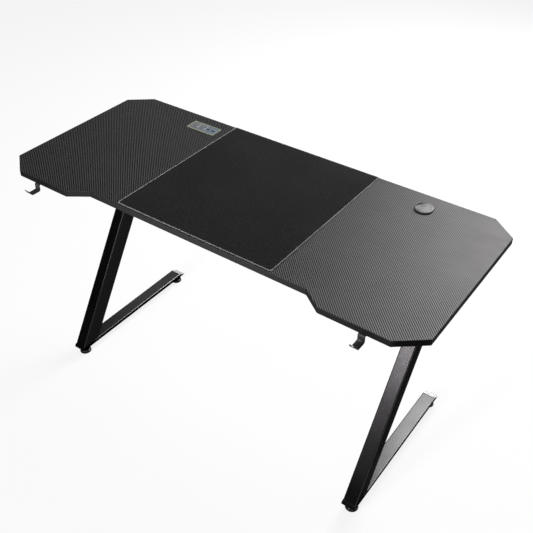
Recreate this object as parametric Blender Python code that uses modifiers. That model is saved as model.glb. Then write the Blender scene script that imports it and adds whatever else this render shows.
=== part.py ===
# Straight gaming desk: a chamfered top with a recessed front edge, carried by
# two Z-shaped side frames of steel tube that two crossbeams join.
# Metres, +Z up, front edge towards -Y, floor at z = 0.  The origin is the
# centre of the footprint, with the hooks that stand out at the front.

import math

import bmesh
import bpy
from mathutils import Matrix, Vector

# ---- gaps ----
GAP = 0.0003                 # between pieces that touch
PILOT_GAP = 0.0003           # round a screw in its pilot hole
BOLT_PLAY = 0.0003           # round a bolt in its hole
TURN_PLAY = 0.0003           # round the turning pieces of the cable outlet

# ---- top ----
TOP_LENGTH = 1.400
TOP_DEPTH = 0.593
TOP_HEIGHT = 0.745           # floor to work surface
TOP_THICKNESS = 0.0189
CORNER_ALONG = 0.0725        # chamfer of a corner, along the length
CORNER_ACROSS = 0.0587       # chamfer of a corner, along the depth
RECESS_DEPTH = 0.0398
RECESS_MOUTH = 0.8606        # width of the recess at the front edge
RECESS_BACK = 0.7474         # width of the recess at its back
SHEET_THICKNESS = 0.0009     # laminate
BAND_THICKNESS = 0.0012      # edge band

# ---- mat ----
MAT_WIDTH = 0.532
MAT_THICKNESS = 0.002
MAT_FRONT_MARGIN = 0.0037    # from the back of the recess
MAT_REAR_MARGIN = 0.001
MAT_CORNER = 0.009

# ---- side frames ----
LEG_INSET = 0.1459           # centre of a frame, from the end of the top
BAR_WIDTH = 0.044
BAR_HEIGHT = 0.0148
BAR_WALL = 0.0015
BAR_CORNER = 0.0018
FOOT_BAR_BOTTOM = 0.0234     # floor to foot bar
FOOT_BAR_SETBACK = 0.0510    # rear end of the foot bar's top face, from the rear edge
TOP_BAR_SETBACK = 0.0915     # front end of the top bar's bottom face, from the front edge
POST_WIDTH = 0.041
POST_DEPTH = 0.060           # square to its length
POST_WALL = 0.0015
POST_CORNER = 0.0025
POST_LEAN = math.radians(32.11)
POST_SETBACK = 0.0307        # front face of the post on the foot bar, from the front edge
HEEL_DROP = 0.0072           # top of the foot bar to its front corner, in line with the post
TOE_SLOPE = math.radians(27.5)   # slanted rear end of the foot bar, from the level
END_PLATE = 0.0015

# ---- levelling feet ----
PAD_RADIUS = 0.019
PAD_HEIGHT = 0.011
PAD_EDGE = 0.0015
PAD_BORE_DEPTH = 0.006
FOOT_FRONT_INSET = 0.0198    # centre of the foot, from the front of the foot bar's top
FOOT_REAR_INSET = 0.0005     # the same, from the rear
STUD_RADIUS = 0.004
STUD_TOP = 0.0305            # floor to the end of the stud
COLLAR_RADIUS = 0.0095

# ---- crossbeams ----
BEAM_DEPTH = 0.040
BEAM_FRONT_INSET = 0.0850    # centre of the beam, from the front end of the top bar
BEAM_REAR_INSET = 0.0715     # the same, from the rear end
BEAM_OUTLET_GAP = 0.005      # least clearance between the rear beam and the cable outlet
BEAM_PLATE_THICKNESS = 0.003
BEAM_PLATE_LENGTH = 0.090
BOLT_RADIUS = 0.003
BOLT_HEAD_RADIUS = 0.0052
BOLT_HEAD_HEIGHT = 0.0033
BOLT_LENGTH = 0.010
BOLT_SPACING = 0.066

# ---- wood screws ----
SCREW_RADIUS = 0.002
SCREW_HEAD_RADIUS = 0.0042
SCREW_HEAD_HEIGHT = 0.0024
SCREW_BITE = 0.012           # length in the board
SCREW_TIP = 0.003
SCREW_FRONT_INSET = 0.0200   # first screw, from the front end of the top bar
SCREW_REAR_INSET = 0.1515    # last screw, from the rear end of the top bar

# ---- headset hooks ----
HOOK_WIDTH = 0.020
HOOK_THICKNESS = 0.0025
HOOK_PLATE_LENGTH = 0.0640   # under the top, from the front edge
HOOK_SETBACK = 0.0005        # rear face of the drop, ahead of the front edge
HOOK_DROP = 0.0220           # underside of the top to the floor of the hook
HOOK_FLOOR = 0.0300          # length of the hook's floor
HOOK_LIP_OUT = 0.0115
HOOK_LIP_UP = 0.0160
HOOK_BEND = 0.003
HOOK_SCREW_INSET = 0.012     # from both ends of the plate

# ---- cable outlet ----
OUTLET_SIDE_INSET = 0.254    # centre of the outlet, from the end of the top
OUTLET_REAR_INSET = 0.071    # the same, from the rear edge
FLANGE_RADIUS = 0.0275
FLANGE_HEIGHT = 0.005        # above the work surface
FLANGE_EDGE = 0.0008
SLEEVE_RADIUS = 0.0232
SLEEVE_BORE = 0.0215
SLEEVE_BELOW = 0.002         # below the underside of the top
LID_RADIUS = 0.0238
LID_THICKNESS = 0.002
LID_SINK = 0.0004            # lid below the rim of the flange
NOTCH_RADIUS = 0.0255
NOTCH_CENTRE_X = -0.031      # from the lid's centre
NOTCH_CENTRE_Y = -0.001
SHUTTER_THICKNESS = 0.0015
SHUTTER_FROM = math.radians(115)
SHUTTER_TO = math.radians(245)
SHUTTER_HUB = 0.004
PIN_RADIUS = 0.0012
PIN_HEAD_RADIUS = 0.003
PIN_HEAD_HEIGHT = 0.0015
PIN_BITE = 0.0012            # length of the pin in the lid

# ---- power panel ----
PANEL_LENGTH = 0.109
PANEL_WIDTH = 0.048
PANEL_CORNER = 0.003
PANEL_MAT_GAP = 0.029        # side of the mat to the panel
PANEL_REAR_INSET = 0.0655    # the same, from the rear edge
PANEL_RIM_HEIGHT = 0.0015    # above the work surface
PANEL_RIM_WIDTH = 0.00275
PANEL_OVERLAP = 0.0015       # rim that rests on the top
PANEL_WALL = 0.0020          # ledge that carries the face plate
PANEL_BELOW = 0.022          # below the underside of the top
PANEL_FACE_THICKNESS = 0.002
PANEL_FACE_SINK = 0.0003     # face plate below the rim
SOCKET_XS = (-0.034, -0.006)     # from the panel's centre
SOCKET_SLOT_STEP = 0.0063
SOCKET_SLOT_Y = 0.003
SOCKET_PIN_Y = -0.0068
SOCKET_PIN_RADIUS = 0.0024
CHARGER_XS = (0.0175, 0.0365)
SOCKET_SLOT_WIDTH = 0.0022
SOCKET_LONG_SLOT = 0.0078
SOCKET_SHORT_SLOT = 0.0066
CHARGER_SLOT_LENGTH = 0.0126
CHARGER_SLOT_WIDTH = 0.0052
SLOT_CORNER = 0.0004

# ---- places that follow from the sizes ----
TOP_UNDERSIDE = TOP_HEIGHT - TOP_THICKNESS
FRONT_EDGE = -TOP_DEPTH / 2
REAR_EDGE = TOP_DEPTH / 2
LEG_X = TOP_LENGTH / 2 - LEG_INSET
OUTLET_X = TOP_LENGTH / 2 - OUTLET_SIDE_INSET
OUTLET_Y = REAR_EDGE - OUTLET_REAR_INSET
PANEL_X = -MAT_WIDTH / 2 - PANEL_MAT_GAP - PANEL_LENGTH / 2
PANEL_Y = REAR_EDGE - PANEL_REAR_INSET
PANEL_BOX_LENGTH = PANEL_LENGTH - 2 * PANEL_OVERLAP
PANEL_BOX_WIDTH = PANEL_WIDTH - 2 * PANEL_OVERLAP
FOOT_BAR_TOP = FOOT_BAR_BOTTOM + BAR_HEIGHT
FOOT_BAR_REAR = REAR_EDGE - FOOT_BAR_SETBACK
TOP_BAR_TOP = TOP_UNDERSIDE - GAP
TOP_BAR_BOTTOM = TOP_BAR_TOP - BAR_HEIGHT
TOP_BAR_FRONT = FRONT_EDGE + TOP_BAR_SETBACK
POST_FRONT = FRONT_EDGE + POST_SETBACK
POST_REAR = POST_FRONT + POST_DEPTH / math.cos(POST_LEAN)
TOP_BAR_REAR = POST_REAR + (TOP_BAR_TOP - FOOT_BAR_TOP) * math.tan(POST_LEAN)
FOOT_YS = {"front": POST_FRONT + FOOT_FRONT_INSET, "rear": FOOT_BAR_REAR - FOOT_REAR_INSET}
BEAM_LIMIT_Y = OUTLET_Y - SLEEVE_RADIUS - BEAM_OUTLET_GAP - BEAM_DEPTH / 2
BEAM_YS = {
    "front": TOP_BAR_FRONT + BEAM_FRONT_INSET,
    "rear": min(TOP_BAR_REAR - BEAM_REAR_INSET, BEAM_LIMIT_Y),
}
SCREW_FRONT_Y = TOP_BAR_FRONT + SCREW_FRONT_INSET
SCREW_REAR_Y = TOP_BAR_REAR - SCREW_REAR_INSET
BOARD_SCREW_YS = {
    "front": SCREW_FRONT_Y,
    "rear": SCREW_REAR_Y,
}
HOOK_PLATE_REAR = FRONT_EDGE + HOOK_PLATE_LENGTH
POST_ALONG = Vector((0, math.sin(POST_LEAN), math.cos(POST_LEAN)))
POST_ACROSS = Vector((0, math.cos(POST_LEAN), -math.sin(POST_LEAN)))
TOE_NORMAL = Vector((0, math.sin(TOE_SLOPE), math.cos(TOE_SLOPE)))
HEEL_Y = POST_FRONT - HEEL_DROP * math.tan(POST_LEAN)
HOOK_LIP = Vector((-HOOK_LIP_OUT, HOOK_LIP_UP))
HOOK_TIP_HALF = HOOK_THICKNESS / 2 * HOOK_LIP_UP / HOOK_LIP.length
HOOK_BACK_Y = FRONT_EDGE - HOOK_SETBACK
HOOK_REACH = HOOK_BACK_Y - HOOK_FLOOR - HOOK_LIP_OUT - HOOK_TIP_HALF
FOOTPRINT_SHIFT = -(HOOK_REACH + REAR_EDGE) / 2

SIDES = {"left": -1, "right": 1}
CUTTER_REACH = 0.12          # size of the blocks that trim tube ends
SMALL_SIDES = 12             # facets of holes, bolts and screws
ROUND_SIDES = 32             # facets of the pads and the cable outlet


def clear_scene():
    for item in list(bpy.data.objects):
        bpy.data.objects.remove(item, do_unlink=True)


def new_collection(name):
    collection = bpy.data.collections.new(name)
    bpy.context.scene.collection.children.link(collection)
    return collection


def new_material(name, color, roughness, metallic=0.0):
    material = bpy.data.materials.new(name)
    material.use_nodes = True
    shader = material.node_tree.nodes["Principled BSDF"]
    shader.inputs["Base Color"].default_value = (*color, 1.0)
    shader.inputs["Roughness"].default_value = roughness
    shader.inputs["Metallic"].default_value = metallic
    return material


def upright(place):
    return Matrix.Translation(place)


def along(place, direction, across):
    """Local Z runs along a direction and local X along a second one."""
    z_axis = direction.normalized()
    x_axis = across.normalized()
    y_axis = z_axis.cross(x_axis)
    turn = Matrix((x_axis, y_axis, z_axis)).transposed().to_4x4()
    return Matrix.Translation(place) @ turn


def add_part(name, data, matrix, material_name):
    part = bpy.data.objects.new(name, data)
    parts.objects.link(part)
    part.parent = footprint
    part.matrix_local = matrix
    data.materials.clear()
    data.materials.append(new_material(name, *FINISHES[material_name]))
    return part


def circle(radius, sides, centre=(0.0, 0.0)):
    points = []
    for index in range(sides):
        angle = 2 * math.pi * index / sides
        points.append(Vector((centre[0] + radius * math.cos(angle),
                              centre[1] + radius * math.sin(angle))))
    return points


def inset(points, distance):
    """Move each side of a counter-clockwise outline inwards by a distance."""
    moved = []
    for index, corner in enumerate(points):
        before = (corner - points[index - 1]).normalized()
        after = (points[(index + 1) % len(points)] - corner).normalized()
        normal_before = Vector((-before.y, before.x))
        normal_after = Vector((-after.y, after.x))
        bisector = normal_before + normal_after
        moved.append(corner + bisector * distance / (1 + normal_before.dot(normal_after)))
    return moved


def fillet(points, radii, steps=2):
    """Round the corners that have a radius; the ends of an open line have none."""
    rounded = []
    for index, corner in enumerate(points):
        if radii[index] == 0:
            rounded.append(corner)
            continue
        to_before = (points[index - 1] - corner).normalized()
        to_after = (points[(index + 1) % len(points)] - corner).normalized()
        half_angle = to_before.angle(to_after) / 2
        reach = radii[index] / math.tan(half_angle)
        centre = corner + (to_before + to_after).normalized() * radii[index] / math.sin(half_angle)
        start = (corner + to_before * reach - centre).normalized()
        end = (corner + to_after * reach - centre).normalized()
        for step in range(steps + 1):
            rounded.append(centre + start.slerp(end, step / steps) * radii[index])
    return rounded


def rectangle(width, depth, corner):
    points = [Vector((-width / 2, -depth / 2)), Vector((width / 2, -depth / 2)),
              Vector((width / 2, depth / 2)), Vector((-width / 2, depth / 2))]
    return fillet(points, [corner] * 4)


def prism(name, loops, thickness):
    """Mesh of flat loops, the later ones holes, thickened evenly about z = 0."""
    curve = bpy.data.curves.new(name, "CURVE")
    curve.dimensions = "2D"
    curve.fill_mode = "BOTH"
    curve.extrude = thickness / 2
    for points in loops:
        spline = curve.splines.new("POLY")
        spline.points.add(len(points) - 1)
        for point, place in zip(spline.points, points):
            point.co = (place.x, place.y, 0, 1)
        spline.use_cyclic_u = True
    guide = bpy.data.objects.new(name, curve)
    parts.objects.link(guide)
    bpy.context.view_layer.update()
    evaluated = guide.evaluated_get(bpy.context.evaluated_depsgraph_get())
    mesh = bpy.data.meshes.new_from_object(evaluated)
    bpy.data.objects.remove(guide)
    bpy.data.curves.remove(curve)
    shape = bmesh.new()
    shape.from_mesh(mesh)
    bmesh.ops.remove_doubles(shape, verts=shape.verts, dist=0.00001)
    bmesh.ops.recalc_face_normals(shape, faces=shape.faces)
    shape.to_mesh(mesh)
    shape.free()
    mesh.shade_smooth()
    mesh.set_sharp_from_angle(angle=math.radians(35))
    return mesh


def turned(name, profile, matrix, material_name, sides, closed=False):
    """Turn a profile of (radius, height), which runs down its outer side, round Z."""
    mesh = bpy.data.meshes.new(name)
    edges = [(index, index + 1) for index in range(len(profile) - 1)]
    if closed:
        edges.append((len(profile) - 1, 0))
    mesh.from_pydata([(radius, 0, height) for radius, height in profile], edges, [])
    part = add_part(name, mesh, matrix, material_name)
    screw = part.modifiers.new("turn", "SCREW")
    screw.steps = sides
    screw.render_steps = sides
    screw.use_merge_vertices = True
    screw.merge_threshold = 0.00005
    screw.use_normal_calculate = False
    return part


def add_cutter(name, mesh, matrix):
    cutter = bpy.data.objects.new(name, mesh)
    cutters.objects.link(cutter)
    cutter.parent = footprint
    cutter.matrix_local = matrix
    cutter.hide_render = True
    cutter.display_type = "WIRE"
    return cutter


def cut(part, cutter):
    boolean = part.modifiers.new(cutter.name, "BOOLEAN")
    boolean.operation = "DIFFERENCE"
    boolean.solver = "EXACT"
    boolean.object = cutter


def cylinder_mesh(name, radius, length, sides):
    mesh = bpy.data.meshes.new(name)
    shape = bmesh.new()
    bmesh.ops.create_cone(shape, cap_ends=True, segments=sides,
                          radius1=radius, radius2=radius, depth=length)
    shape.to_mesh(mesh)
    shape.free()
    return mesh


def drill(part, place, direction, radius, length, sides=SMALL_SIDES):
    """Cut a round hole of a length, centred on a place."""
    name = part.name + "_hole"
    helper = Vector((0, 1, 0)) if abs(direction.y) < 0.5 else Vector((1, 0, 0))
    mesh = cylinder_mesh(name, radius, length, sides)
    cut(part, add_cutter(name, mesh, along(place, direction, helper)))


def block_mesh(name):
    mesh = bpy.data.meshes.new(name)
    shape = bmesh.new()
    bmesh.ops.create_cube(shape, size=CUTTER_REACH)
    shape.to_mesh(mesh)
    shape.free()
    return mesh


def trim(part, place, normal):
    """Cut away what lies past a plane, on the side that its normal points to."""
    name = part.name + "_trim"
    middle = place + normal.normalized() * CUTTER_REACH / 2
    cut(part, add_cutter(name, block_mesh(name), along(middle, normal, Vector((1, 0, 0)))))


def tray(name, rings, matrix, material_name):
    """Closed solid through level rounded rectangles: length, width, corner, height."""
    mesh = bpy.data.meshes.new(name)
    shape = bmesh.new()
    loops = []
    for length, width, corner, height in rings:
        outline = rectangle(length, width, corner)
        loops.append([shape.verts.new((point.x, point.y, height)) for point in outline])
    for lower, upper in zip(loops, loops[1:]):
        for index in range(len(lower)):
            following = (index + 1) % len(lower)
            shape.faces.new((lower[index], lower[following], upper[following], upper[index]))
    shape.faces.new(list(reversed(loops[0])))
    shape.faces.new(loops[-1])
    bmesh.ops.recalc_face_normals(shape, faces=shape.faces)
    shape.to_mesh(mesh)
    shape.free()
    return add_part(name, mesh, matrix, material_name)


def tube(name, width, depth, wall, corner, start, end, material_name):
    """Rectangular tube from start to end; its width lies along the desk's X."""
    outer = rectangle(width, depth, corner)
    inner = rectangle(width - 2 * wall, depth - 2 * wall, max(corner - wall, 0.0003))
    mesh = prism(name, [outer, inner], (end - start).length)
    across = Vector((1, 0, 0)) if abs(end.x - start.x) < 0.001 else Vector((0, 1, 0))
    return add_part(name, mesh, along((start + end) / 2, end - start, across), material_name)


FINISHES = {
    "board": ((0.33, 0.25, 0.17), 0.8),
    "carbon": ((0.060, 0.058, 0.062), 0.35),
    "band": ((0.050, 0.048, 0.052), 0.45),
    "mat": ((0.012, 0.012, 0.013), 0.9),
    "frame": ((0.030, 0.029, 0.030), 0.38),
    "hook": ((0.045, 0.044, 0.046), 0.35),
    "steel": ((0.45, 0.45, 0.46), 0.35, 1.0),
    "black_oxide": ((0.03, 0.03, 0.032), 0.4, 0.8),
    "plastic": ((0.018, 0.018, 0.019), 0.5),
    "lid": ((0.28, 0.28, 0.29), 0.4),
    "panel_rim": ((0.16, 0.17, 0.12), 0.35),
    "panel_face": ((0.05, 0.06, 0.075), 0.2),
}


def top_outline():
    half_length = TOP_LENGTH / 2
    half_depth = TOP_DEPTH / 2
    right = [
        (RECESS_BACK / 2, -half_depth + RECESS_DEPTH),
        (RECESS_MOUTH / 2, -half_depth),
        (half_length - CORNER_ALONG, -half_depth),
        (half_length, -half_depth + CORNER_ACROSS),
        (half_length, half_depth - CORNER_ACROSS),
        (half_length - CORNER_ALONG, half_depth),
    ]
    left = [(-x, y) for x, y in reversed(right)]
    return [Vector(point) for point in right + left]


def hook_screw_ys():
    return (FRONT_EDGE + HOOK_SCREW_INSET, HOOK_PLATE_REAR - HOOK_SCREW_INSET)


def shifted(points, x, y):
    return [point + Vector((x, y)) for point in points]


def make_top():
    outline = top_outline()
    core_outline = inset(outline, BAND_THICKNESS + GAP)
    outlet_hole = circle(SLEEVE_RADIUS + GAP, ROUND_SIDES, (OUTLET_X, OUTLET_Y))
    panel_hole = shifted(rectangle(PANEL_BOX_LENGTH + 2 * GAP, PANEL_BOX_WIDTH + 2 * GAP,
                                   PANEL_CORNER), PANEL_X, PANEL_Y)
    core_loops = [core_outline, outlet_hole, panel_hole]

    board_top = TOP_HEIGHT - SHEET_THICKNESS - GAP
    board_mesh = prism("desktop_board", core_loops, board_top - TOP_UNDERSIDE)
    board = add_part("desktop_board", board_mesh,
                     upright((0, 0, (board_top + TOP_UNDERSIDE) / 2)), "board")
    pilot_depth = SCREW_BITE + PILOT_GAP
    pilot_radius = SCREW_RADIUS + PILOT_GAP
    for side in SIDES.values():
        x = side * LEG_X
        for y in [*BOARD_SCREW_YS.values(), *hook_screw_ys()]:
            drill(board, Vector((x, y, TOP_UNDERSIDE)), Vector((0, 0, 1)),
                  pilot_radius, 2 * pilot_depth)

    sheet_mesh = prism("carbon_top_sheet", core_loops, SHEET_THICKNESS)
    add_part("carbon_top_sheet", sheet_mesh,
             upright((0, 0, TOP_HEIGHT - SHEET_THICKNESS / 2)), "carbon")

    band_mesh = prism("edge_band", [outline, inset(outline, BAND_THICKNESS)], TOP_THICKNESS)
    add_part("edge_band", band_mesh,
             upright((0, 0, TOP_HEIGHT - TOP_THICKNESS / 2)), "band")


def make_mat():
    front = FRONT_EDGE + RECESS_DEPTH + MAT_FRONT_MARGIN
    rear = REAR_EDGE - MAT_REAR_MARGIN
    corners = [Vector((-MAT_WIDTH / 2, front)), Vector((MAT_WIDTH / 2, front)),
               Vector((MAT_WIDTH / 2, rear)), Vector((-MAT_WIDTH / 2, rear))]
    outline = fillet(corners, [MAT_CORNER, MAT_CORNER, 0, 0], steps=4)
    mesh = prism("desk_mat", [outline], MAT_THICKNESS)
    add_part("desk_mat", mesh, upright((0, 0, TOP_HEIGHT + GAP + MAT_THICKNESS / 2)), "mat")


def make_bar_plate(name, x, z_low, planes):
    """Plate of even thickness that closes a bar's end along one or two slanted planes."""
    middle = Vector((x, planes[0][0].y, z_low + BAR_HEIGHT / 2))
    outline = rectangle(BAR_WIDTH, BAR_HEIGHT, BAR_CORNER)
    mesh = prism(name, [outline], CUTTER_REACH / 2)
    plate = add_part(name, mesh, along(middle, Vector((0, 1, 0)), Vector((1, 0, 0))), "frame")
    core = add_cutter(name + "_core", block_mesh(name + "_core"), upright(middle))
    for place, normal in planes:
        trim(plate, place, normal)
        trim(core, place - normal * END_PLATE, normal)
    cut(plate, core)


def make_bar(name, label, x, z_low, ends, material_name="frame"):
    """Flat tube along the depth, trimmed at both ends and closed by plates."""
    ys = [planes[0][0].y for planes in ends]
    z_middle = z_low + BAR_HEIGHT / 2
    start = Vector((x, min(ys) - CUTTER_REACH / 4, z_middle))
    end = Vector((x, max(ys) + CUTTER_REACH / 4, z_middle))
    bar = tube(name, BAR_WIDTH, BAR_HEIGHT, BAR_WALL, BAR_CORNER, start, end, material_name)
    for end_name, planes in zip(("front", "rear"), ends):
        for place, normal in planes:
            trim(bar, place - normal * (END_PLATE + GAP), normal)
        make_bar_plate(f"{label}_plate_{end_name}", x, z_low, planes)
    return bar


def make_side_frame(side_name, side):
    x = side * LEG_X
    heel = Vector((x, HEEL_Y, FOOT_BAR_TOP - HEEL_DROP))
    foot_ends = [[(Vector((x, POST_FRONT, FOOT_BAR_TOP)), -POST_ACROSS), (heel, -POST_ALONG)],
                 [(Vector((x, FOOT_BAR_REAR, FOOT_BAR_TOP)), TOE_NORMAL)]]
    foot_bar = make_bar(f"foot_bar_{side_name}", f"foot_bar_{side_name}",
                        x, FOOT_BAR_BOTTOM, foot_ends)
    for y in FOOT_YS.values():
        drill(foot_bar, Vector((x, y, FOOT_BAR_BOTTOM)), Vector((0, 0, 1)),
              STUD_RADIUS + BOLT_PLAY, 2 * BAR_WALL + 2 * BOLT_PLAY)

    post_top = TOP_BAR_BOTTOM - GAP
    post_bottom = FOOT_BAR_TOP + GAP
    rise = math.tan(POST_LEAN)
    middle_y = (POST_FRONT + POST_REAR) / 2
    overrun = POST_DEPTH
    start = Vector((x, middle_y, FOOT_BAR_TOP)) - POST_ALONG * overrun
    top_middle = Vector((x, middle_y + (post_top - FOOT_BAR_TOP) * rise, post_top))
    end = top_middle + POST_ALONG * overrun
    post = tube(f"post_{side_name}", POST_WIDTH, POST_DEPTH, POST_WALL, POST_CORNER,
                start, end, "frame")
    trim(post, Vector((x, middle_y, post_bottom)), Vector((0, 0, -1)))
    trim(post, top_middle, Vector((0, 0, 1)))

    top_ends = [[(Vector((x, TOP_BAR_FRONT, TOP_BAR_BOTTOM)), -POST_ALONG)],
                [(Vector((x, TOP_BAR_REAR, TOP_BAR_TOP)), POST_ACROSS)]]
    top_bar = make_bar(f"top_bar_{side_name}", f"top_bar_{side_name}",
                       x, TOP_BAR_BOTTOM, top_ends)
    for y in BOARD_SCREW_YS.values():
        drill(top_bar, Vector((x, y, TOP_BAR_BOTTOM + BAR_HEIGHT / 2)), Vector((0, 0, 1)),
              SCREW_RADIUS + BOLT_PLAY, 2 * BAR_HEIGHT)
    inner_x = x - side * BAR_WIDTH / 2
    for beam_y in BEAM_YS.values():
        for step in (-0.5, 0.5):
            drill(top_bar, Vector((inner_x, beam_y + step * BOLT_SPACING,
                                   TOP_BAR_BOTTOM + BAR_HEIGHT / 2)),
                  Vector((1, 0, 0)), BOLT_RADIUS + BOLT_PLAY, 2 * BAR_WALL + 2 * BOLT_PLAY)


def make_foot(label, x, y):
    """Levelling foot: the pad and its stud move, the collar stays under the bar."""
    bore = STUD_RADIUS + GAP
    bore_floor = PAD_HEIGHT - PAD_BORE_DEPTH
    pad_rim = PAD_RADIUS - PAD_EDGE
    turned(f"foot_pad_{label}",
           [(0, bore_floor), (bore, bore_floor), (bore, PAD_HEIGHT), (pad_rim, PAD_HEIGHT),
            (PAD_RADIUS, PAD_HEIGHT - PAD_EDGE), (PAD_RADIUS, PAD_EDGE), (pad_rim, 0), (0, 0)],
           upright((x, y, 0)), "plastic", ROUND_SIDES)
    turned(f"foot_stud_{label}",
           [(0, STUD_TOP), (STUD_RADIUS, STUD_TOP), (STUD_RADIUS, bore_floor + GAP),
            (0, bore_floor + GAP)],
           upright((x, y, 0)), "steel", SMALL_SIDES)
    collar_bore = STUD_RADIUS + GAP
    collar_low = PAD_HEIGHT + GAP
    collar_high = FOOT_BAR_BOTTOM - GAP
    turned(f"foot_collar_{label}",
           [(collar_bore, collar_high), (COLLAR_RADIUS, collar_high),
            (COLLAR_RADIUS, collar_low), (collar_bore, collar_low)],
           upright((x, y, 0)), "black_oxide", ROUND_SIDES // 2, closed=True)


def make_beam(label, y):
    """Crossbeam between the top bars, with a bolted plate at each end."""
    plate_outer = LEG_X - BAR_WIDTH / 2 - GAP
    plate_inner = plate_outer - BEAM_PLATE_THICKNESS
    beam_end = plate_inner - GAP
    z = TOP_BAR_BOTTOM + BAR_HEIGHT / 2
    tube(f"crossbeam_{label}", BEAM_DEPTH, BAR_HEIGHT, BAR_WALL, BAR_CORNER,
         Vector((-beam_end, y, z)), Vector((beam_end, y, z)), "frame")
    for side_name, side in SIDES.items():
        name = f"beam_plate_{label}_{side_name}"
        middle = Vector((side * (plate_outer + plate_inner) / 2, y, z))
        outline = rectangle(BEAM_PLATE_LENGTH, BAR_HEIGHT, BAR_CORNER)
        mesh = prism(name, [outline], BEAM_PLATE_THICKNESS)
        plate = add_part(name, mesh, along(middle, Vector((1, 0, 0)), Vector((0, 1, 0))),
                         "frame")
        for number, step in enumerate((-0.5, 0.5), start=1):
            place = Vector((middle.x, y + step * BOLT_SPACING, z))
            drill(plate, place, Vector((1, 0, 0)), BOLT_RADIUS + BOLT_PLAY,
                  2 * BEAM_PLATE_THICKNESS)
            seat = Vector((side * (plate_inner - GAP), place.y, z))
            make_bolt(f"beam_bolt_{label}_{side_name}_{number}", seat, Vector((side, 0, 0)))


def make_bolt(name, seat, direction):
    """Button-head bolt: the head's underside is at the seat."""
    crown = BOLT_HEAD_RADIUS * 0.6
    turned(name,
           [(0, BOLT_LENGTH), (BOLT_RADIUS, BOLT_LENGTH), (BOLT_RADIUS, 0),
            (BOLT_HEAD_RADIUS, 0), (BOLT_HEAD_RADIUS, -BOLT_HEAD_HEIGHT * 0.4),
            (crown, -BOLT_HEAD_HEIGHT), (0, -BOLT_HEAD_HEIGHT)],
           along(seat, direction, Vector((0, 1, 0))), "black_oxide", SMALL_SIDES)


def make_screw(name, seat, grip):
    """Pan-head wood screw that points up from its seat through a thickness."""
    length = grip + SCREW_BITE
    turned(name,
           [(0, length), (SCREW_RADIUS, length - SCREW_TIP), (SCREW_RADIUS, 0),
            (SCREW_HEAD_RADIUS, 0), (SCREW_HEAD_RADIUS, -SCREW_HEAD_HEIGHT * 0.4),
            (SCREW_HEAD_RADIUS * 0.6, -SCREW_HEAD_HEIGHT), (0, -SCREW_HEAD_HEIGHT)],
           upright(seat), "black_oxide", SMALL_SIDES)


def make_screws(side_name, side):
    x = side * LEG_X
    bar_seat = TOP_BAR_BOTTOM - GAP
    for label, y in BOARD_SCREW_YS.items():
        make_screw(f"board_screw_{label}_{side_name}", Vector((x, y, bar_seat)),
                   TOP_UNDERSIDE - bar_seat)
    hook_seat = TOP_UNDERSIDE - GAP - HOOK_THICKNESS - GAP
    for number, y in enumerate(hook_screw_ys(), start=1):
        make_screw(f"hook_screw_{side_name}_{number}", Vector((x, y, hook_seat)),
                   TOP_UNDERSIDE - hook_seat)


def make_hook(side_name, side):
    """Flat strip, screwed under the top, that bends down, forward and up."""
    half = HOOK_THICKNESS / 2
    plate_z = TOP_UNDERSIDE - GAP - half
    drop_y = HOOK_BACK_Y - half
    floor_z = TOP_UNDERSIDE - HOOK_DROP + half
    lip_foot = Vector((HOOK_BACK_Y - HOOK_FLOOR, floor_z))
    path = [Vector((HOOK_PLATE_REAR, plate_z)), Vector((drop_y, plate_z)),
            Vector((drop_y, floor_z)), lip_foot, lip_foot + HOOK_LIP]
    bends = [0, HOOK_BEND, HOOK_BEND, HOOK_BEND, 0]
    line = fillet(path, bends, steps=3)
    mesh = bpy.data.meshes.new(f"headset_hook_{side_name}")
    x = side * LEG_X
    width = HOOK_WIDTH / 2
    shape = bmesh.new()
    rows = [[shape.verts.new((offset, point.x, point.y)) for point in line]
            for offset in (-width, width)]
    for index in range(len(line) - 1):
        shape.faces.new((rows[0][index], rows[0][index + 1],
                         rows[1][index + 1], rows[1][index]))
    shape.to_mesh(mesh)
    shape.free()
    hook = add_part(mesh.name, mesh, upright((x, 0, 0)), "hook")
    solidify = hook.modifiers.new("strip", "SOLIDIFY")
    solidify.thickness = HOOK_THICKNESS
    solidify.offset = 0
    solidify.use_even_offset = True
    for y in hook_screw_ys():
        drill(hook, Vector((x, y, plate_z)), Vector((0, 0, 1)),
              SCREW_RADIUS + BOLT_PLAY, 3 * HOOK_THICKNESS)


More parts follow.
